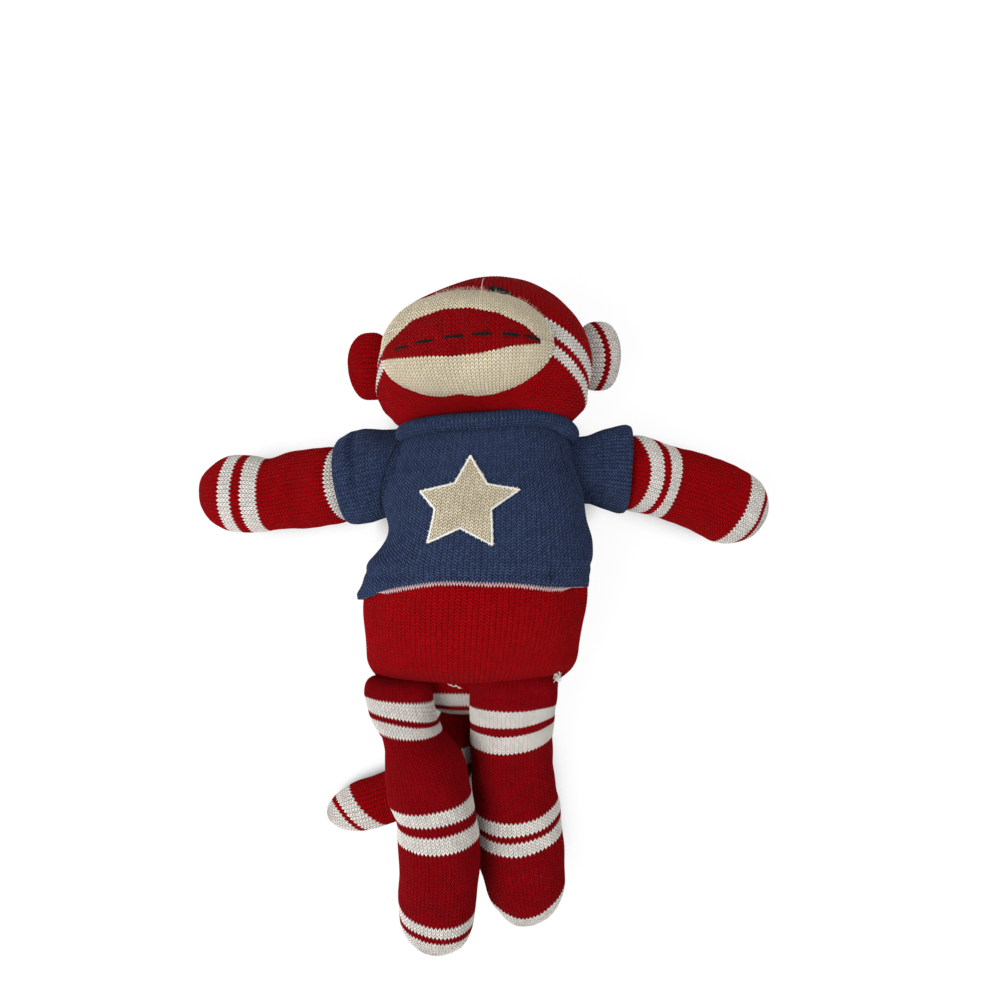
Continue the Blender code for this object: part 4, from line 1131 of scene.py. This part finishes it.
def make_serging(hem):
    """Overlock thread under the hem, in stitches like teeth. It shows in front, where the edge stands off."""
    chance = np.random.default_rng(9)
    lines = []
    for k in range(HEM_TEETH):
        turn = 2 * np.pi * (k + chance.uniform(-0.1, 0.1)) / HEM_TEETH
        shown = float(ease((math.sin(turn) - 0.52) / 0.20)) if math.sin(turn) > 0 else 0.0
        low = float(np.interp(turn, np.linspace(0, 2 * np.pi, len(hem) + 1), np.append(hem, hem[0])))
        reach = (-0.0012 + 0.0030 * shown + chance.uniform(-0.0002, 0.0002)) / TORSO_LENGTH
        spots = []
        for step, down, off in TOOTH:
            turns = np.array(turn + step * 2 * np.pi / HEM_TEETH)
            place = body_surface(np.array(low - reach * down), turns, GAP + off * (0.3 + 0.7 * shown))
            spots.append(np.maximum(place, (-9, -9, 0.0005)))
        lines.append(spots)
    obj = bundle("hem_stitches", lines, 0.00030, sides=5)
    dress(obj, thread_material("serging", (0.56, 0.40, 0.40)), "torso")
    return obj


# The armholes' seams as the camera sees them
SEAMS = {
    "right": ((399, 437), (389.5, 458), (383, 474.5), (380, 489), (383, 517)),
    "left": ((562, 441), (564, 460), (570.5, 477), (579, 493), (586, 510)),
}


def make_seam_shades(sweater, sleeves):
    """The drawn-in line where each sleeve is sewn to the sweater, as a thread darker than the sweater: the
    seam is real, its darkness is painted shade of the crease there.
    """
    # Near-black blue: painted shade in the seam's crease
    dark = thread_material("seam_thread", (0.010, 0.016, 0.040))
    for side_name, corners in SEAMS.items():
        trees = [tree_of(sweater), tree_of(sleeves[side_name][0])]
        rows = np.array(corners, float)
        curve = np.polyfit(rows[:, 1], rows[:, 0], 3)
        line = []
        for y in np.linspace(rows[0, 1], rows[-1, 1], 60):
            found = topmost(trees, float(np.polyval(curve, y)), float(y))
            if found:
                line.append(found[0] - found[1] * 0.0001)
        line = np.array(line)
        line = np.array([line[max(k - 2, 0):k + 3].mean(axis=0) for k in range(len(line))])
        obj = bundle(f"armhole_seam_shade_{side_name}", [line], 0.00065, sides=8, taper=0.5)
        dress(obj, dark, "torso")


def inside_sweater(points, off):
    """True where points are inside the sweater's outer surface."""
    share, x = torso_place(points)
    width, depth, height = sweater_sizes(share)
    z = points[..., 2] - height
    turns = np.arctan2(z / np.maximum(depth, 1e-4), x / np.maximum(width, 1e-4))
    extra = off + body_folds(share, turns)
    return (x / (width + extra)) ** 2 + (z / (depth + extra)) ** 2 < 1


# Each sleeve starts this far inside the sweater, and parts in two pieces at this distance from the shoulder.
# Two stretches from the parting, from which places are worked out but not used
SLEEVE_BACK = 0.020
SLEEVE_PARTING = 0.0040
UPPER_BEND = (-0.0060, -0.0008)
LOWER_BEND = (0.0008, 0.0080)
# Distances along each sleeve, with its radius there
SLEEVE_SHAPE = {
    "left": ((-0.020, 0.0172), (0.0, 0.0182), (0.008, 0.0208), (0.016, 0.0228), (0.022, 0.0238)),
    "right": ((-0.020, 0.0212), (-0.006, 0.0222), (0.002, 0.0234), (0.010, 0.0242), (0.017, 0.0236),
              (0.022, 0.0222)),
}
# How far each cuff is drawn back, over the top of the arm and ahead
CUFF_BACK = {"left": (0.0072, 0.0020), "right": (0.0060, 0.0030)}
# The soft folds down one sleeve's upper side: place along it, spread and height
SLEEVE_FOLDS = ((0.0062, 0.0020, -0.0030), (0.0105, 0.0024, 0.0010), (0.0008, 0.0020, -0.0014))


def make_sleeve(side_name):
    line = arm_line(side_name)
    per_wale, wales = 6, 60
    columns = per_wale * wales
    turns = circle(columns)
    steps = 140
    headward = np.clip(np.cos(turns) * -sign(side_name), 0, 1)
    upper = np.clip(np.sin(turns), 0, 1)
    # The cuff is drawn back over the top of the arm, so each line along the sleeve ends at its own place
    over, ahead = CUFF_BACK[side_name]
    back_by = over * upper**1.3 + ahead * headward**2
    length = SLEEVE_LENGTH + SLEEVE_BACK - back_by
    at = length * (np.arange(steps) / (steps - 1))[:, None] - SLEEVE_BACK
    places = np.linspace(0, SLEEVE_LENGTH, 45)
    frames = [line.frame(spot / ARM_LENGTH) for spot in places]
    middle, way, level = (np.stack([np.interp(np.maximum(at, 0), places, [f[i][axis] for f in frames])
                                    for axis in range(3)], axis=-1) for i in range(3))
    radius = np.interp(at, *zip(*SLEEVE_SHAPE[side_name]))
    if side_name == "right":
        radius = radius + 0.0026 * headward**2 * hump(at, 0.004, 0.012)
        facing_up = hump(turns, math.radians(62), 0.62)
        for spot, spread, height in SLEEVE_FOLDS:
            radius = radius + height * facing_up * hump(at, spot, spread)
    else:
        radius = radius + 0.0019 * headward**3 * hump(at, 0.019, 0.009)
        radius = radius + 0.0009 * headward**3 * hump(at, 0.006, 0.006)
    fan = middle + way * np.minimum(at, 0)[..., None]
    fan = fan + oval(level, np.cross(level, way), radius, radius, turns)
    inside = inside_sweater(fan, GAP + SWEATER - 0.0006)
    # Each line along the sleeve starts where it leaves the sweater's body
    first = np.where(inside.any(axis=0), steps - 1 - np.argmax(inside[::-1], axis=0), 0)
    first = np.minimum(first, steps // 2 + 20)
    smooth = np.array([np.roll(first, k) for k in range(-6, 7)]).mean(axis=0)
    spots = np.arange(steps)
    # The sleeve is made as two pieces, parted near the shoulder
    rings, half = 36, 11
    parting = (SLEEVE_PARTING + SLEEVE_BACK) / length * (steps - 1)
    points = np.empty((rings, columns, 3))
    for c in range(columns):
        begin = max(smooth[c] - 2.0, 0)
        part = max(parting[c], begin + 3)
        rows = [*np.linspace(begin, part, half + 1)[:-1], *np.linspace(part, steps - 1, rings - half)]
        for axis in range(3):
            points[:, c, axis] = np.interp(rows, spots, fan[:, c, axis])
    distance = np.linalg.norm(points[-1] - points, axis=-1)
    wale = wales_across(rings, columns, per_wale)
    course = distance / FINE_COURSE + LEAD
    creases = 0.0006 * np.sin(5 * turns + 1.5)[None, :] * ease(distance / 0.02)
    roll = -0.0008 * (1 - ease(distance / 0.002))
    points = raise_surface(points, (ribs(wale) - 1) * SLEEVE_RELIEF + creases + roll)
    made = []
    for part_name, low, high in (("upper", 0, half + 1), ("lower", half, rings)):
        obj = grid_mesh(f"sleeve_{side_name}_{part_name}", points[low:high], wale[low:high], course[low:high])
        apply_thickness(obj, 0.0014)
        made.append(dress(obj, BLUE_KNIT, None))
    root, onward = shoulder(side_name), frames[0][1]
    sleeve = f"sleeve_{side_name}"
    for obj, bodies, bend in ((made[0], ("torso", sleeve), UPPER_BEND),
                              (made[1], (sleeve, f"arm_{side_name}"), LOWER_BEND)):
        near, far = (root + onward * (SLEEVE_PARTING + spot) for spot in bend)
        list(bodies)
        tuple(near)
        tuple(far)
        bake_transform(obj)
    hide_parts(f"sweater_sleeve_{side_name}")
    return made


def apply_thickness(obj, thickness):
    """Gives a surface its thickness in the mesh itself."""
    solid = obj.modifiers.new("cloth", "SOLIDIFY")
    solid.thickness = thickness
    solid.offset = -1.0
    bpy.context.view_layer.update()
    graph = bpy.context.evaluated_depsgraph_get()
    result = bpy.data.meshes.new_from_object(obj.evaluated_get(graph))
    obj.modifiers.clear()
    old = obj.data
    obj.data = result
    bpy.data.meshes.remove(old)


ROLL_WIDTH = 0.0438
ROLL_DEPTH = 0.0384
ROLL_RADIUS = 0.0042


def collar_rise(turns):
    """How much higher the collar stands than its two ends, at turns round the neck."""
    turns = np.mod(turns, 2 * np.pi)
    return 0.0035 * np.clip(np.sin(turns), 0, 1) + 0.0038 * hump(turns, math.radians(52), math.radians(30))


def make_collar():
    around, section, per_wale = 900, 32, 6.0
    turns = circle(around)
    side, axis = vec((1, 0, 0)), vec((0, 1, 0))
    middle = vec((NECK[0], NECK[1] - 0.0054, COLLAR_DEPTH / 2 - PRESS))
    out = unit(oval(side, Z, 1 / ROLL_WIDTH, 1 / ROLL_DEPTH, turns))
    centre = middle + oval(side, Z, ROLL_WIDTH, ROLL_DEPTH, turns) + axis * collar_rise(turns)[:, None]
    ring = circle(section)
    swell = 1 + 0.07 * np.cos(turns - 0.9) + 0.03 * np.sin(3 * turns + 1)
    wale = np.arange(around) / per_wale
    radius = ROLL_RADIUS * swell - COLLAR_RELIEF * (1 - ribs(wale))
    ring_out = out[:, None] * np.cos(ring)[None, :, None] + axis * np.sin(ring)[None, :, None]
    points = centre[:, None] + ring_out * radius[:, None, None]
    points[..., 2] = np.maximum(points[..., 2], 0.0)
    # The grid's rings go round the neck, so the last meets the first
    points = np.concatenate([points, points[:1]])
    wales = np.concatenate([wale, [around / per_wale]])
    courses = np.arange(section) * (2 * np.pi * ROLL_RADIUS / section) / FINE_COURSE
    courses = np.tile(courses, (around + 1, 1))
    obj = grid_mesh("collar", points, courses, np.tile(wales[:, None], (1, section)))
    swap_uv(obj)
    weld(obj)
    dress(obj, BLUE_KNIT, None)
    low, high = middle - axis * 0.006, middle + axis * 0.012
    tuple(low)
    tuple(high)
    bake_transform(obj)
    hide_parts("sweater_collar")
    return obj


def swap_uv(obj):
    layer = obj.data.uv_layers["knit"]
    values = np.empty(len(layer.data) * 2, np.float32)
    layer.data.foreach_get("uv", values)
    pairs = values.reshape(-1, 2)[:, ::-1]
    layer.data.foreach_set("uv", np.ascontiguousarray(pairs).ravel())


def weld(obj):
    mesh = bmesh.new()
    mesh.from_mesh(obj.data)
    bmesh.ops.remove_doubles(mesh, verts=mesh.verts, dist=0.00001)
    bmesh.ops.recalc_face_normals(mesh, faces=mesh.faces)
    mesh.to_mesh(obj.data)
    mesh.free()
    obj.data.shade_smooth()


# Star, stitches and small things

# The star's ten corners as the camera sees them on the chest, from the top one round
STAR_CORNERS = (
    (470.5, 455.5), (454.7, 482.9), (420.0, 491.3), (434.7, 509.2), (427.3, 542.9), (460.0, 528.1),
    (492.6, 545.0), (491.5, 509.2), (519.9, 489.2), (487.3, 483.9),
)
# Metres to a pixel at the chest, where the search for a point starts
CHEST_REACH = 0.00046


def chest_place(x, y, off):
    """Points of the sweater's front, raised by off, that the camera sees at places in its picture."""
    x, y = np.broadcast_arrays(np.asarray(x, float), np.asarray(y, float))
    off = off + np.zeros(x.shape)
    across, along, reach = x - PICTURE_MIDDLE, PICTURE_MIDDLE - y, CHEST_REACH
    spot = np.stack([CAMERA[0] + across * reach, CAMERA[1] + along * reach, np.zeros(x.shape)], axis=-1)
    for _ in range(5):
        share, side = torso_place(spot)
        width, _, _ = sweater_sizes(share)
        turns = np.arccos(np.clip(side / (width + GAP + SWEATER), -0.98, 0.98))
        place = body_surface(share, turns, GAP + SWEATER + off)
        reach = (CAMERA_HEIGHT - place[..., 2]) / FOCAL
        spot[..., 0] += CAMERA[0] + across * reach - place[..., 0]
        spot[..., 1] += CAMERA[1] + along * reach - place[..., 1]
    return place


def make_star():
    steps, rings = 24, 44
    corners = vec(STAR_CORNERS)
    pairs = zip(corners, np.roll(corners, -1, axis=0))
    outline = np.array([a + (b - a) * k / steps for a, b in pairs for k in range(steps)])
    middle = outline.mean(axis=0)
    flat = np.array([middle + (outline - middle) * (k + 1) / rings for k in range(rings)])
    # A soft edge, drawn down by the border's stitches
    off = 0.0010 - 0.0005 * ease((np.arange(rings)[:, None] - rings + 5) / 5.0) + np.zeros(flat.shape[:2])
    points = chest_place(flat[..., 0], flat[..., 1], off)
    wale = (flat[..., 0] + 0.12 * flat[..., 1]) / 4.4
    course = -(flat[..., 1] - 0.12 * flat[..., 0]) / 3.3 + 200
    points[..., 2] += (knit(wale, course) - 1) * STAR_RELIEF
    centre = chest_place(middle[0], middle[1], 0.0007)
    obj = grid_mesh("star", points, wale, course, None, centre, None, Z)
    apply_thickness(obj, 0.0008)
    material = knit_material("star_yarn", [(0.0, CREAM)], 300, dark=0.97, power=0.85, fleck=(0.85, 0.8, 0.7),
                             flecks=0.1, thin=1.1)
    dress(obj, material, "torso")
    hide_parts("star_patch")
    border = make_star_border(outline)
    return obj


def make_star_border(outline):
    """Satin stitches over the star's edge, close together, with a few frayed ends."""
    chance = np.random.default_rng(5)
    lines = []
    ahead = np.roll(outline, -1, axis=0) - outline
    along = unit(ahead)
    per_step = 3
    for k in range(len(outline)):
        # Corners run round the star against the clock, so outward is on the right
        across = np.array((-along[k][1], along[k][0]))
        for n in range(per_step):
            spot = outline[k] + ahead[k] * (n + chance.uniform(-0.2, 0.2)) / per_step
            out = 0.4 + 0.8 * chance.random()
            into = 0.8 + 1.0 * chance.random()
            if chance.random() < 0.09:
                out += 1.8 * chance.random()
            lines.append((spot + across * out + along[k] * 0.8, spot, spot - across * into - along[k] * 0.8))
    ends = np.array(lines)
    lines = chest_place(ends[..., 0], ends[..., 1], np.array((0.0003, 0.0015, 0.0008)))
    obj = bundle("star_border", lines, 0.00020, sides=5, smooth=3)
    dress(obj, thread_material("border_thread", (0.74, 0.72, 0.66)), "torso")
    return obj


def tree_of(obj):
    mesh = bmesh.new()
    mesh.from_mesh(obj.data)
    tree = BVHTree.FromBMesh(mesh)
    mesh.free()
    return tree


def below(tree, x, y):
    """The point of a surface under a place of the picture, and its normal."""
    ray = Vector((x - PICTURE_MIDDLE, PICTURE_MIDDLE - y, -FOCAL)).normalized()
    place, normal, _, _ = tree.ray_cast(CAMERA, ray)
    return (vec(place), vec(normal)) if place else None


def bundle(name, lines, radius, sides=4, smooth=0, taper=0.35):
    """Many short threads in one mesh."""
    verts, faces = [], []
    turns = circle(sides)
    for line in lines:
        line = np.array(line, float)
        if smooth:
            t = np.linspace(0, 1, smooth * 2 + 1)[:, None]
            line = line[0] * (1 - t) ** 2 + 2 * line[1] * t * (1 - t) + line[2] * t**2
        along = unit(np.gradient(line, axis=0) + 1e-12)
        reference = np.where(np.abs(along[:, 2:3]) > 0.9, vec((1, 0, 0)), Z)
        side = unit(np.cross(along, reference))
        up = np.cross(side, along)
        size = radius * (1 - (1 - taper) * np.linspace(-1, 1, len(line)) ** 4)
        ring = line[:, None] + oval(side[:, None], up[:, None], size[:, None], size[:, None], turns)
        base = len(verts)
        verts += ring.reshape(-1, 3).tolist()
        for i in range(len(line) - 1):
            for j in range(sides):
                m = (j + 1) % sides
                faces.append((base + i * sides + j, base + (i + 1) * sides + j, base + (i + 1) * sides + m,
                              base + i * sides + m))
        faces.append(tuple(base + j for j in range(sides)))
        last = base + (len(line) - 1) * sides
        faces.append(tuple(last + sides - 1 - j for j in range(sides)))
    mesh = bpy.data.meshes.new(name)
    mesh.from_pydata(verts, [], faces)
    mesh.shade_smooth()
    return add_object(name, mesh)


# The ends of the mouth's stitches in the picture
MOUTH_DASHES = (((394, 349.7), (408, 345.7)), ((414.5, 343.2), (434, 339.9)), ((443, 337.7), (464.5, 335.4)),
                ((471, 334.1), (493, 333.5)), ((500.5, 333.4), (520, 335.7)), ((523.5, 334.6), (541, 341.3)))
EYE_THREADS = 64
# The loose ends of the seen eye, and the middle of their patch in the picture
LOOSE_THREADS = {"left": 150, "right": 0}
LOOSE_X, LOOSE_Y = 499.5, 290.4


def make_mouth(muzzle, black):
    tree = tree_of(muzzle)
    for number, (a, b) in enumerate(MOUTH_DASHES):
        lines = []
        for strand in (-0.95, -0.3, 0.35, 0.95):
            points = []
            for k in range(15):
                t = k / 14
                x, y = a[0] + (b[0] - a[0]) * t, a[1] + (b[1] - a[1]) * t
                place, normal = below(tree, x, y + strand * (1 - 0.5 * abs(2 * t - 1) ** 3))
                lift = 0.0005 - 0.0013 * abs(2 * t - 1) ** 5 + 0.0002 * (abs(strand) < 1)
                points.append(place + normal * lift)
            lines.append(points)
        dress(bundle(f"mouth_stitch_{number}", lines, 0.00028, sides=6), black, "head")


def topmost(trees, x, y):
    """The point nearest the camera at a place of the picture, and its normal."""
    found = filter(None, (below(tree, x, y) for tree in trees))
    return max(found, key=lambda spot: spot[0][2], default=None)


# How far each eye is shifted up the head from the part's own place, and its height as a share
EYE_SET = {"left": (-0.0046, 0.8), "right": (-0.0044, 0.45)}


def make_eye(side_name, head, muzzle, black):
    """An eye of black thread, stitched over and over. One has short loose ends over the muzzle's edge."""
    chance = np.random.default_rng(11 if side_name == "left" else 12)
    turn = sign(side_name) * EYE_SPACING / HEAD_WIDTH
    edge = MUZZLE_HEIGHT / 2 * math.sqrt(1 - (EYE_SPACING / MUZZLE_WIDTH) ** 2)
    pitch = MUZZLE_PITCH + math.atan2(edge + EYE_RISE, HEAD_DEPTH / 2 - MUZZLE_SINK)
    level = FRONT * math.cos(turn) + SIDE * math.sin(turn)
    out = level * math.cos(pitch) + UP * math.sin(pitch)
    place, normal, _, _ = tree_of(head).ray_cast(Vector(HEAD + out * HEAD_WIDTH), Vector(-out))
    place, normal = vec(place), vec(normal)
    across = unit(SIDE - normal * (SIDE @ normal))
    rise = np.cross(normal, across)
    shift, low = EYE_SET[side_name]
    place = place + rise * shift - normal * 0.0004
    lines = []
    half_w, half_h = EYE_DIAMETER / 2, EYE_DIAMETER * 0.38
    for k in range(EYE_THREADS):
        v = -1 + 2 * (k + 0.5) / EYE_THREADS
        reach = half_w * math.sqrt(max(1 - v * v, 0.02)) * (0.85 + 0.25 * chance.random())
        height = 1.7 * EYE_HEIGHT * low * math.sqrt(max(1 - v * v, 0.05)) * (0.75 + 0.35 * chance.random())
        drift = chance.uniform(-0.0007, 0.0007)
        lines.append([place + rise * (v * half_h + step * drift) + across * ((step - 1) * reach) + normal * up
                      for step, up in ((0, -0.0018), (1, height), (2, -0.0018))])
    trees = [tree_of(head), tree_of(muzzle)]
    for _ in range(LOOSE_THREADS[side_name]):
        x = LOOSE_X + chance.uniform(-1, 1) * 7.0
        y = LOOSE_Y + 0.30 * (x - LOOSE_X) + chance.uniform(-1, 1) * (2.8 - 0.16 * abs(x - 498))
        run, drop = chance.uniform(1.5, 4.5), chance.uniform(0.0, 1.4)
        spots = [topmost(trees, x + step * run, y + step * drop) for step in (-1, 0, 1)]
        near = max(spot[0][2] for spot in spots)
        line = []
        for (spot, _), lift in zip(spots, (0.0002, 0.0010, 0.0002)):
            # Nearer the camera along its line of sight, where the surface falls away
            ray = (vec(CAMERA) - spot) / (CAMERA_HEIGHT - spot[2])
            line.append(spot + ray * (max(near - 0.0025 - spot[2], 0.0) + lift))
        lines.append(line)
    obj = bundle(f"eye_{side_name}_threads", lines, 0.00022, sides=5, smooth=4)
    dress(obj, black, "head")
    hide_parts(f"eye_{side_name}")


FUZZ_FIBRES = 460
WISP_FIBRES = 46


def make_fuzz():
    """Short pale fibres that stand off the muzzle's edge."""
    chance = np.random.default_rng(3)
    lines = []
    for _ in range(FUZZ_FIBRES):
        turn = math.pi * chance.uniform(0.13, 0.60)
        angle = math.pi * chance.uniform(0.52, 0.68)
        swell = math.sin(angle) ** 0.8
        out = SIDE * math.cos(turn) * (MUZZLE_WIDTH / 2) + MUZZLE_UP * math.sin(turn) * (MUZZLE_HEIGHT / 2)
        place = MUZZLE + out * swell * 0.985 - MUZZLE_FRONT * (MUZZLE_DEPTH * math.cos(angle))
        way = unit(unit(out) * 0.9 + MUZZLE_FRONT * 0.35 + vec(chance.uniform(-0.7, 0.7, 3)))
        size = chance.uniform(0.0008, 0.0024)
        bend = vec(chance.uniform(-1, 1, 3)) * size * 0.3
        lines.append([place, place + way * size * 0.6 + bend, place + way * size])
    obj = bundle("muzzle_fuzz", lines, 0.00005, sides=3, smooth=2)
    dress(obj, thread_material("fuzz_fibre", (0.62, 0.50, 0.42)), "head")


# Small threads as the camera sees them: the stitches' three points each, the wisp, and the stray thread with
# its height over the surface
CLOSING_MARKS = (
    ((447.5, 683.5), (450, 685.5), (452, 684)), ((451, 685.5), (454, 686.5), (457, 685)),
    ((455, 684.5), (458, 687.5), (460, 686.5)), ((458, 688.5), (460, 686), (462, 688.5)),
)
WISP_SPOT = (557.0, 674.0)
STRAY_SPOTS = ((484.4, 279.5, 0.0006), (484.6, 287.0, 0.0045), (481.8, 296.0, 0.0006))


def make_small_threads(torso, head, muzzle):
    """The closing stitches between the legs, a wisp of stuffing at the hip and a stray thread on the brow."""
    pale = thread_material("closing_thread", (0.80, 0.72, 0.68))
    tree = tree_of(torso)
    lines = []
    for mark in CLOSING_MARKS:
        spots = [below(tree, *spot) for spot in mark]
        lines.append([place + normal * h for (place, normal), h in zip(spots, (0.0, 0.0011, 0.0))])
    dress(bundle("closing_stitches", lines, 0.00024, sides=6, smooth=4), pale, "torso")

    chance = np.random.default_rng(21)
    place, normal = below(tree, *WISP_SPOT)
    lines = []
    for _ in range(WISP_FIBRES):
        start = place + vec(chance.uniform(-1, 1, 3)) * (0.0012, 0.0022, 0.0006)
        bend = normal * chance.uniform(0.001, 0.003) + vec(chance.uniform(-0.0018, 0.0018, 3))
        end = start + vec(chance.uniform(-1, 1, 3)) * 0.0022 + normal * chance.uniform(0.0, 0.0016)
        lines.append([start, start + bend, end])
    dress(bundle("hip_wisp", lines, 0.00020, sides=4, smooth=4), pale, "torso")

    trees = [tree_of(head), tree_of(muzzle)]
    lines = []
    for x, y, lift in STRAY_SPOTS:
        place, normal = topmost(trees, x, y)
        lines.append(place + normal * lift)
    fibre = thread_material("stray_fibre", (0.80, 0.66, 0.62))
    dress(bundle("brow_thread", [lines], 0.00015, sides=4, smooth=8), fibre, "head")


FLOOR_REACH, FLOOR_HEIGHT = 3.0, -0.0002
FLOOR_CORNERS = ((-1, -1), (1, -1), (1, 1), (-1, 1))
SENSOR = 36.0


def make_floor():
    mesh = bpy.data.meshes.new("floor")
    corners = [(x * FLOOR_REACH, y * FLOOR_REACH, FLOOR_HEIGHT) for x, y in FLOOR_CORNERS]
    mesh.from_pydata(corners, [], [(0, 1, 2, 3)])
    floor = add_object("floor", mesh)
    made, tree, new, calc = new_material("floor_white")
    output = tree.nodes["Material Output"]
    tree.nodes.remove(tree.nodes["Principled BSDF"])
    diffuse = new("ShaderNodeBsdfDiffuse")
    diffuse.inputs[0].default_value = (0.90, 0.90, 0.90, 1)
    white = new("ShaderNodeEmission")
    white.inputs[0].default_value = (1, 1, 1, 1)
    # Painted shade: ambient occlusion darkens the floor's white in closed-in spots, such as the gap between
    # the legs
    near = new("ShaderNodeAmbientOcclusion", samples=12)
    near.inputs["Distance"].default_value = 0.03
    free_of_painted_shade = calc("MULTIPLY", calc("SUBTRACT", near.outputs["AO"], 0.22), 2.6, clamp=True)
    tree.links.new(calc("MULTIPLY", free_of_painted_shade, 1.03), white.inputs[1])
    mix = new("ShaderNodeMixShader")
    path = new("ShaderNodeLightPath")
    tree.links.new(calc("MULTIPLY", path.outputs["Is Camera Ray"], 0.90), mix.inputs[0])
    tree.links.new(diffuse.outputs[0], mix.inputs[1])
    tree.links.new(white.outputs[0], mix.inputs[2])
    tree.links.new(mix.outputs[0], output.inputs[0])
    floor.data.materials.append(made)


# Name, place, size and watts of each lamp, and where they aim
LAMPS = (("key", (-0.52, -0.22, 0.85), 0.6, 8.6), ("fill", (0.75, 0.16, 0.9), 0.9, 3.6))
AIM = Vector((0.0, 0.03, 0.03))


def make_lights():
    world = bpy.data.worlds.new("soft")
    bpy.context.scene.world = world
    world.use_nodes = True
    tree = world.node_tree
    new, calc = node_makers(tree)
    background = tree.nodes["Background"]
    background.inputs[0].default_value = (1, 1, 1, 1)
    path = new("ShaderNodeLightPath")
    seen = calc("MULTIPLY", path.outputs["Is Camera Ray"], 0.48)
    tree.links.new(calc("ADD", seen, 0.52), background.inputs[1])
    for name, place, size, power in LAMPS:
        lamp = bpy.data.lights.new(name, "AREA")
        lamp.energy = power
        lamp.size = size
        obj = add_object(name, lamp)
        obj.location = place
        obj.rotation_mode = "QUATERNION"
        obj.rotation_quaternion = (AIM - Vector(place)).to_track_quat("-Z", "Y")


def make_camera():
    data = bpy.data.cameras.new("camera")
    data.sensor_width = SENSOR
    data.lens = SENSOR * FOCAL / (2 * PICTURE_MIDDLE)
    data.clip_start, data.clip_end = 0.01, 20.0
    camera = add_object("camera", data)
    camera.location = CAMERA
    bpy.context.scene.camera = camera


CAMERA = Vector((SEAT[0] + 0.0170, SEAT[1] + 0.117, CAMERA_HEIGHT))
make_camera()
bpy.context.scene.view_settings.view_transform = "Standard"
make_lights()
make_floor()

torso = make_torso()
head = make_head()
muzzle = make_muzzle()
for name in SIDES:
    make_ear(name)
    make_arm(name)
    make_leg(name)
make_tail()
sweater = make_sweater_body()
sleeves = {name: make_sleeve(name) for name in SIDES}
make_seam_shades(sweater, sleeves)
make_collar()
make_star()
black = thread_material("black_yarn", THREAD_BLACK, dark=0.6, sheen=0.05)
make_mouth(muzzle, black)
for name in SIDES:
    make_eye(name, head, muzzle, black)
make_fuzz()
make_small_threads(torso, head, muzzle)
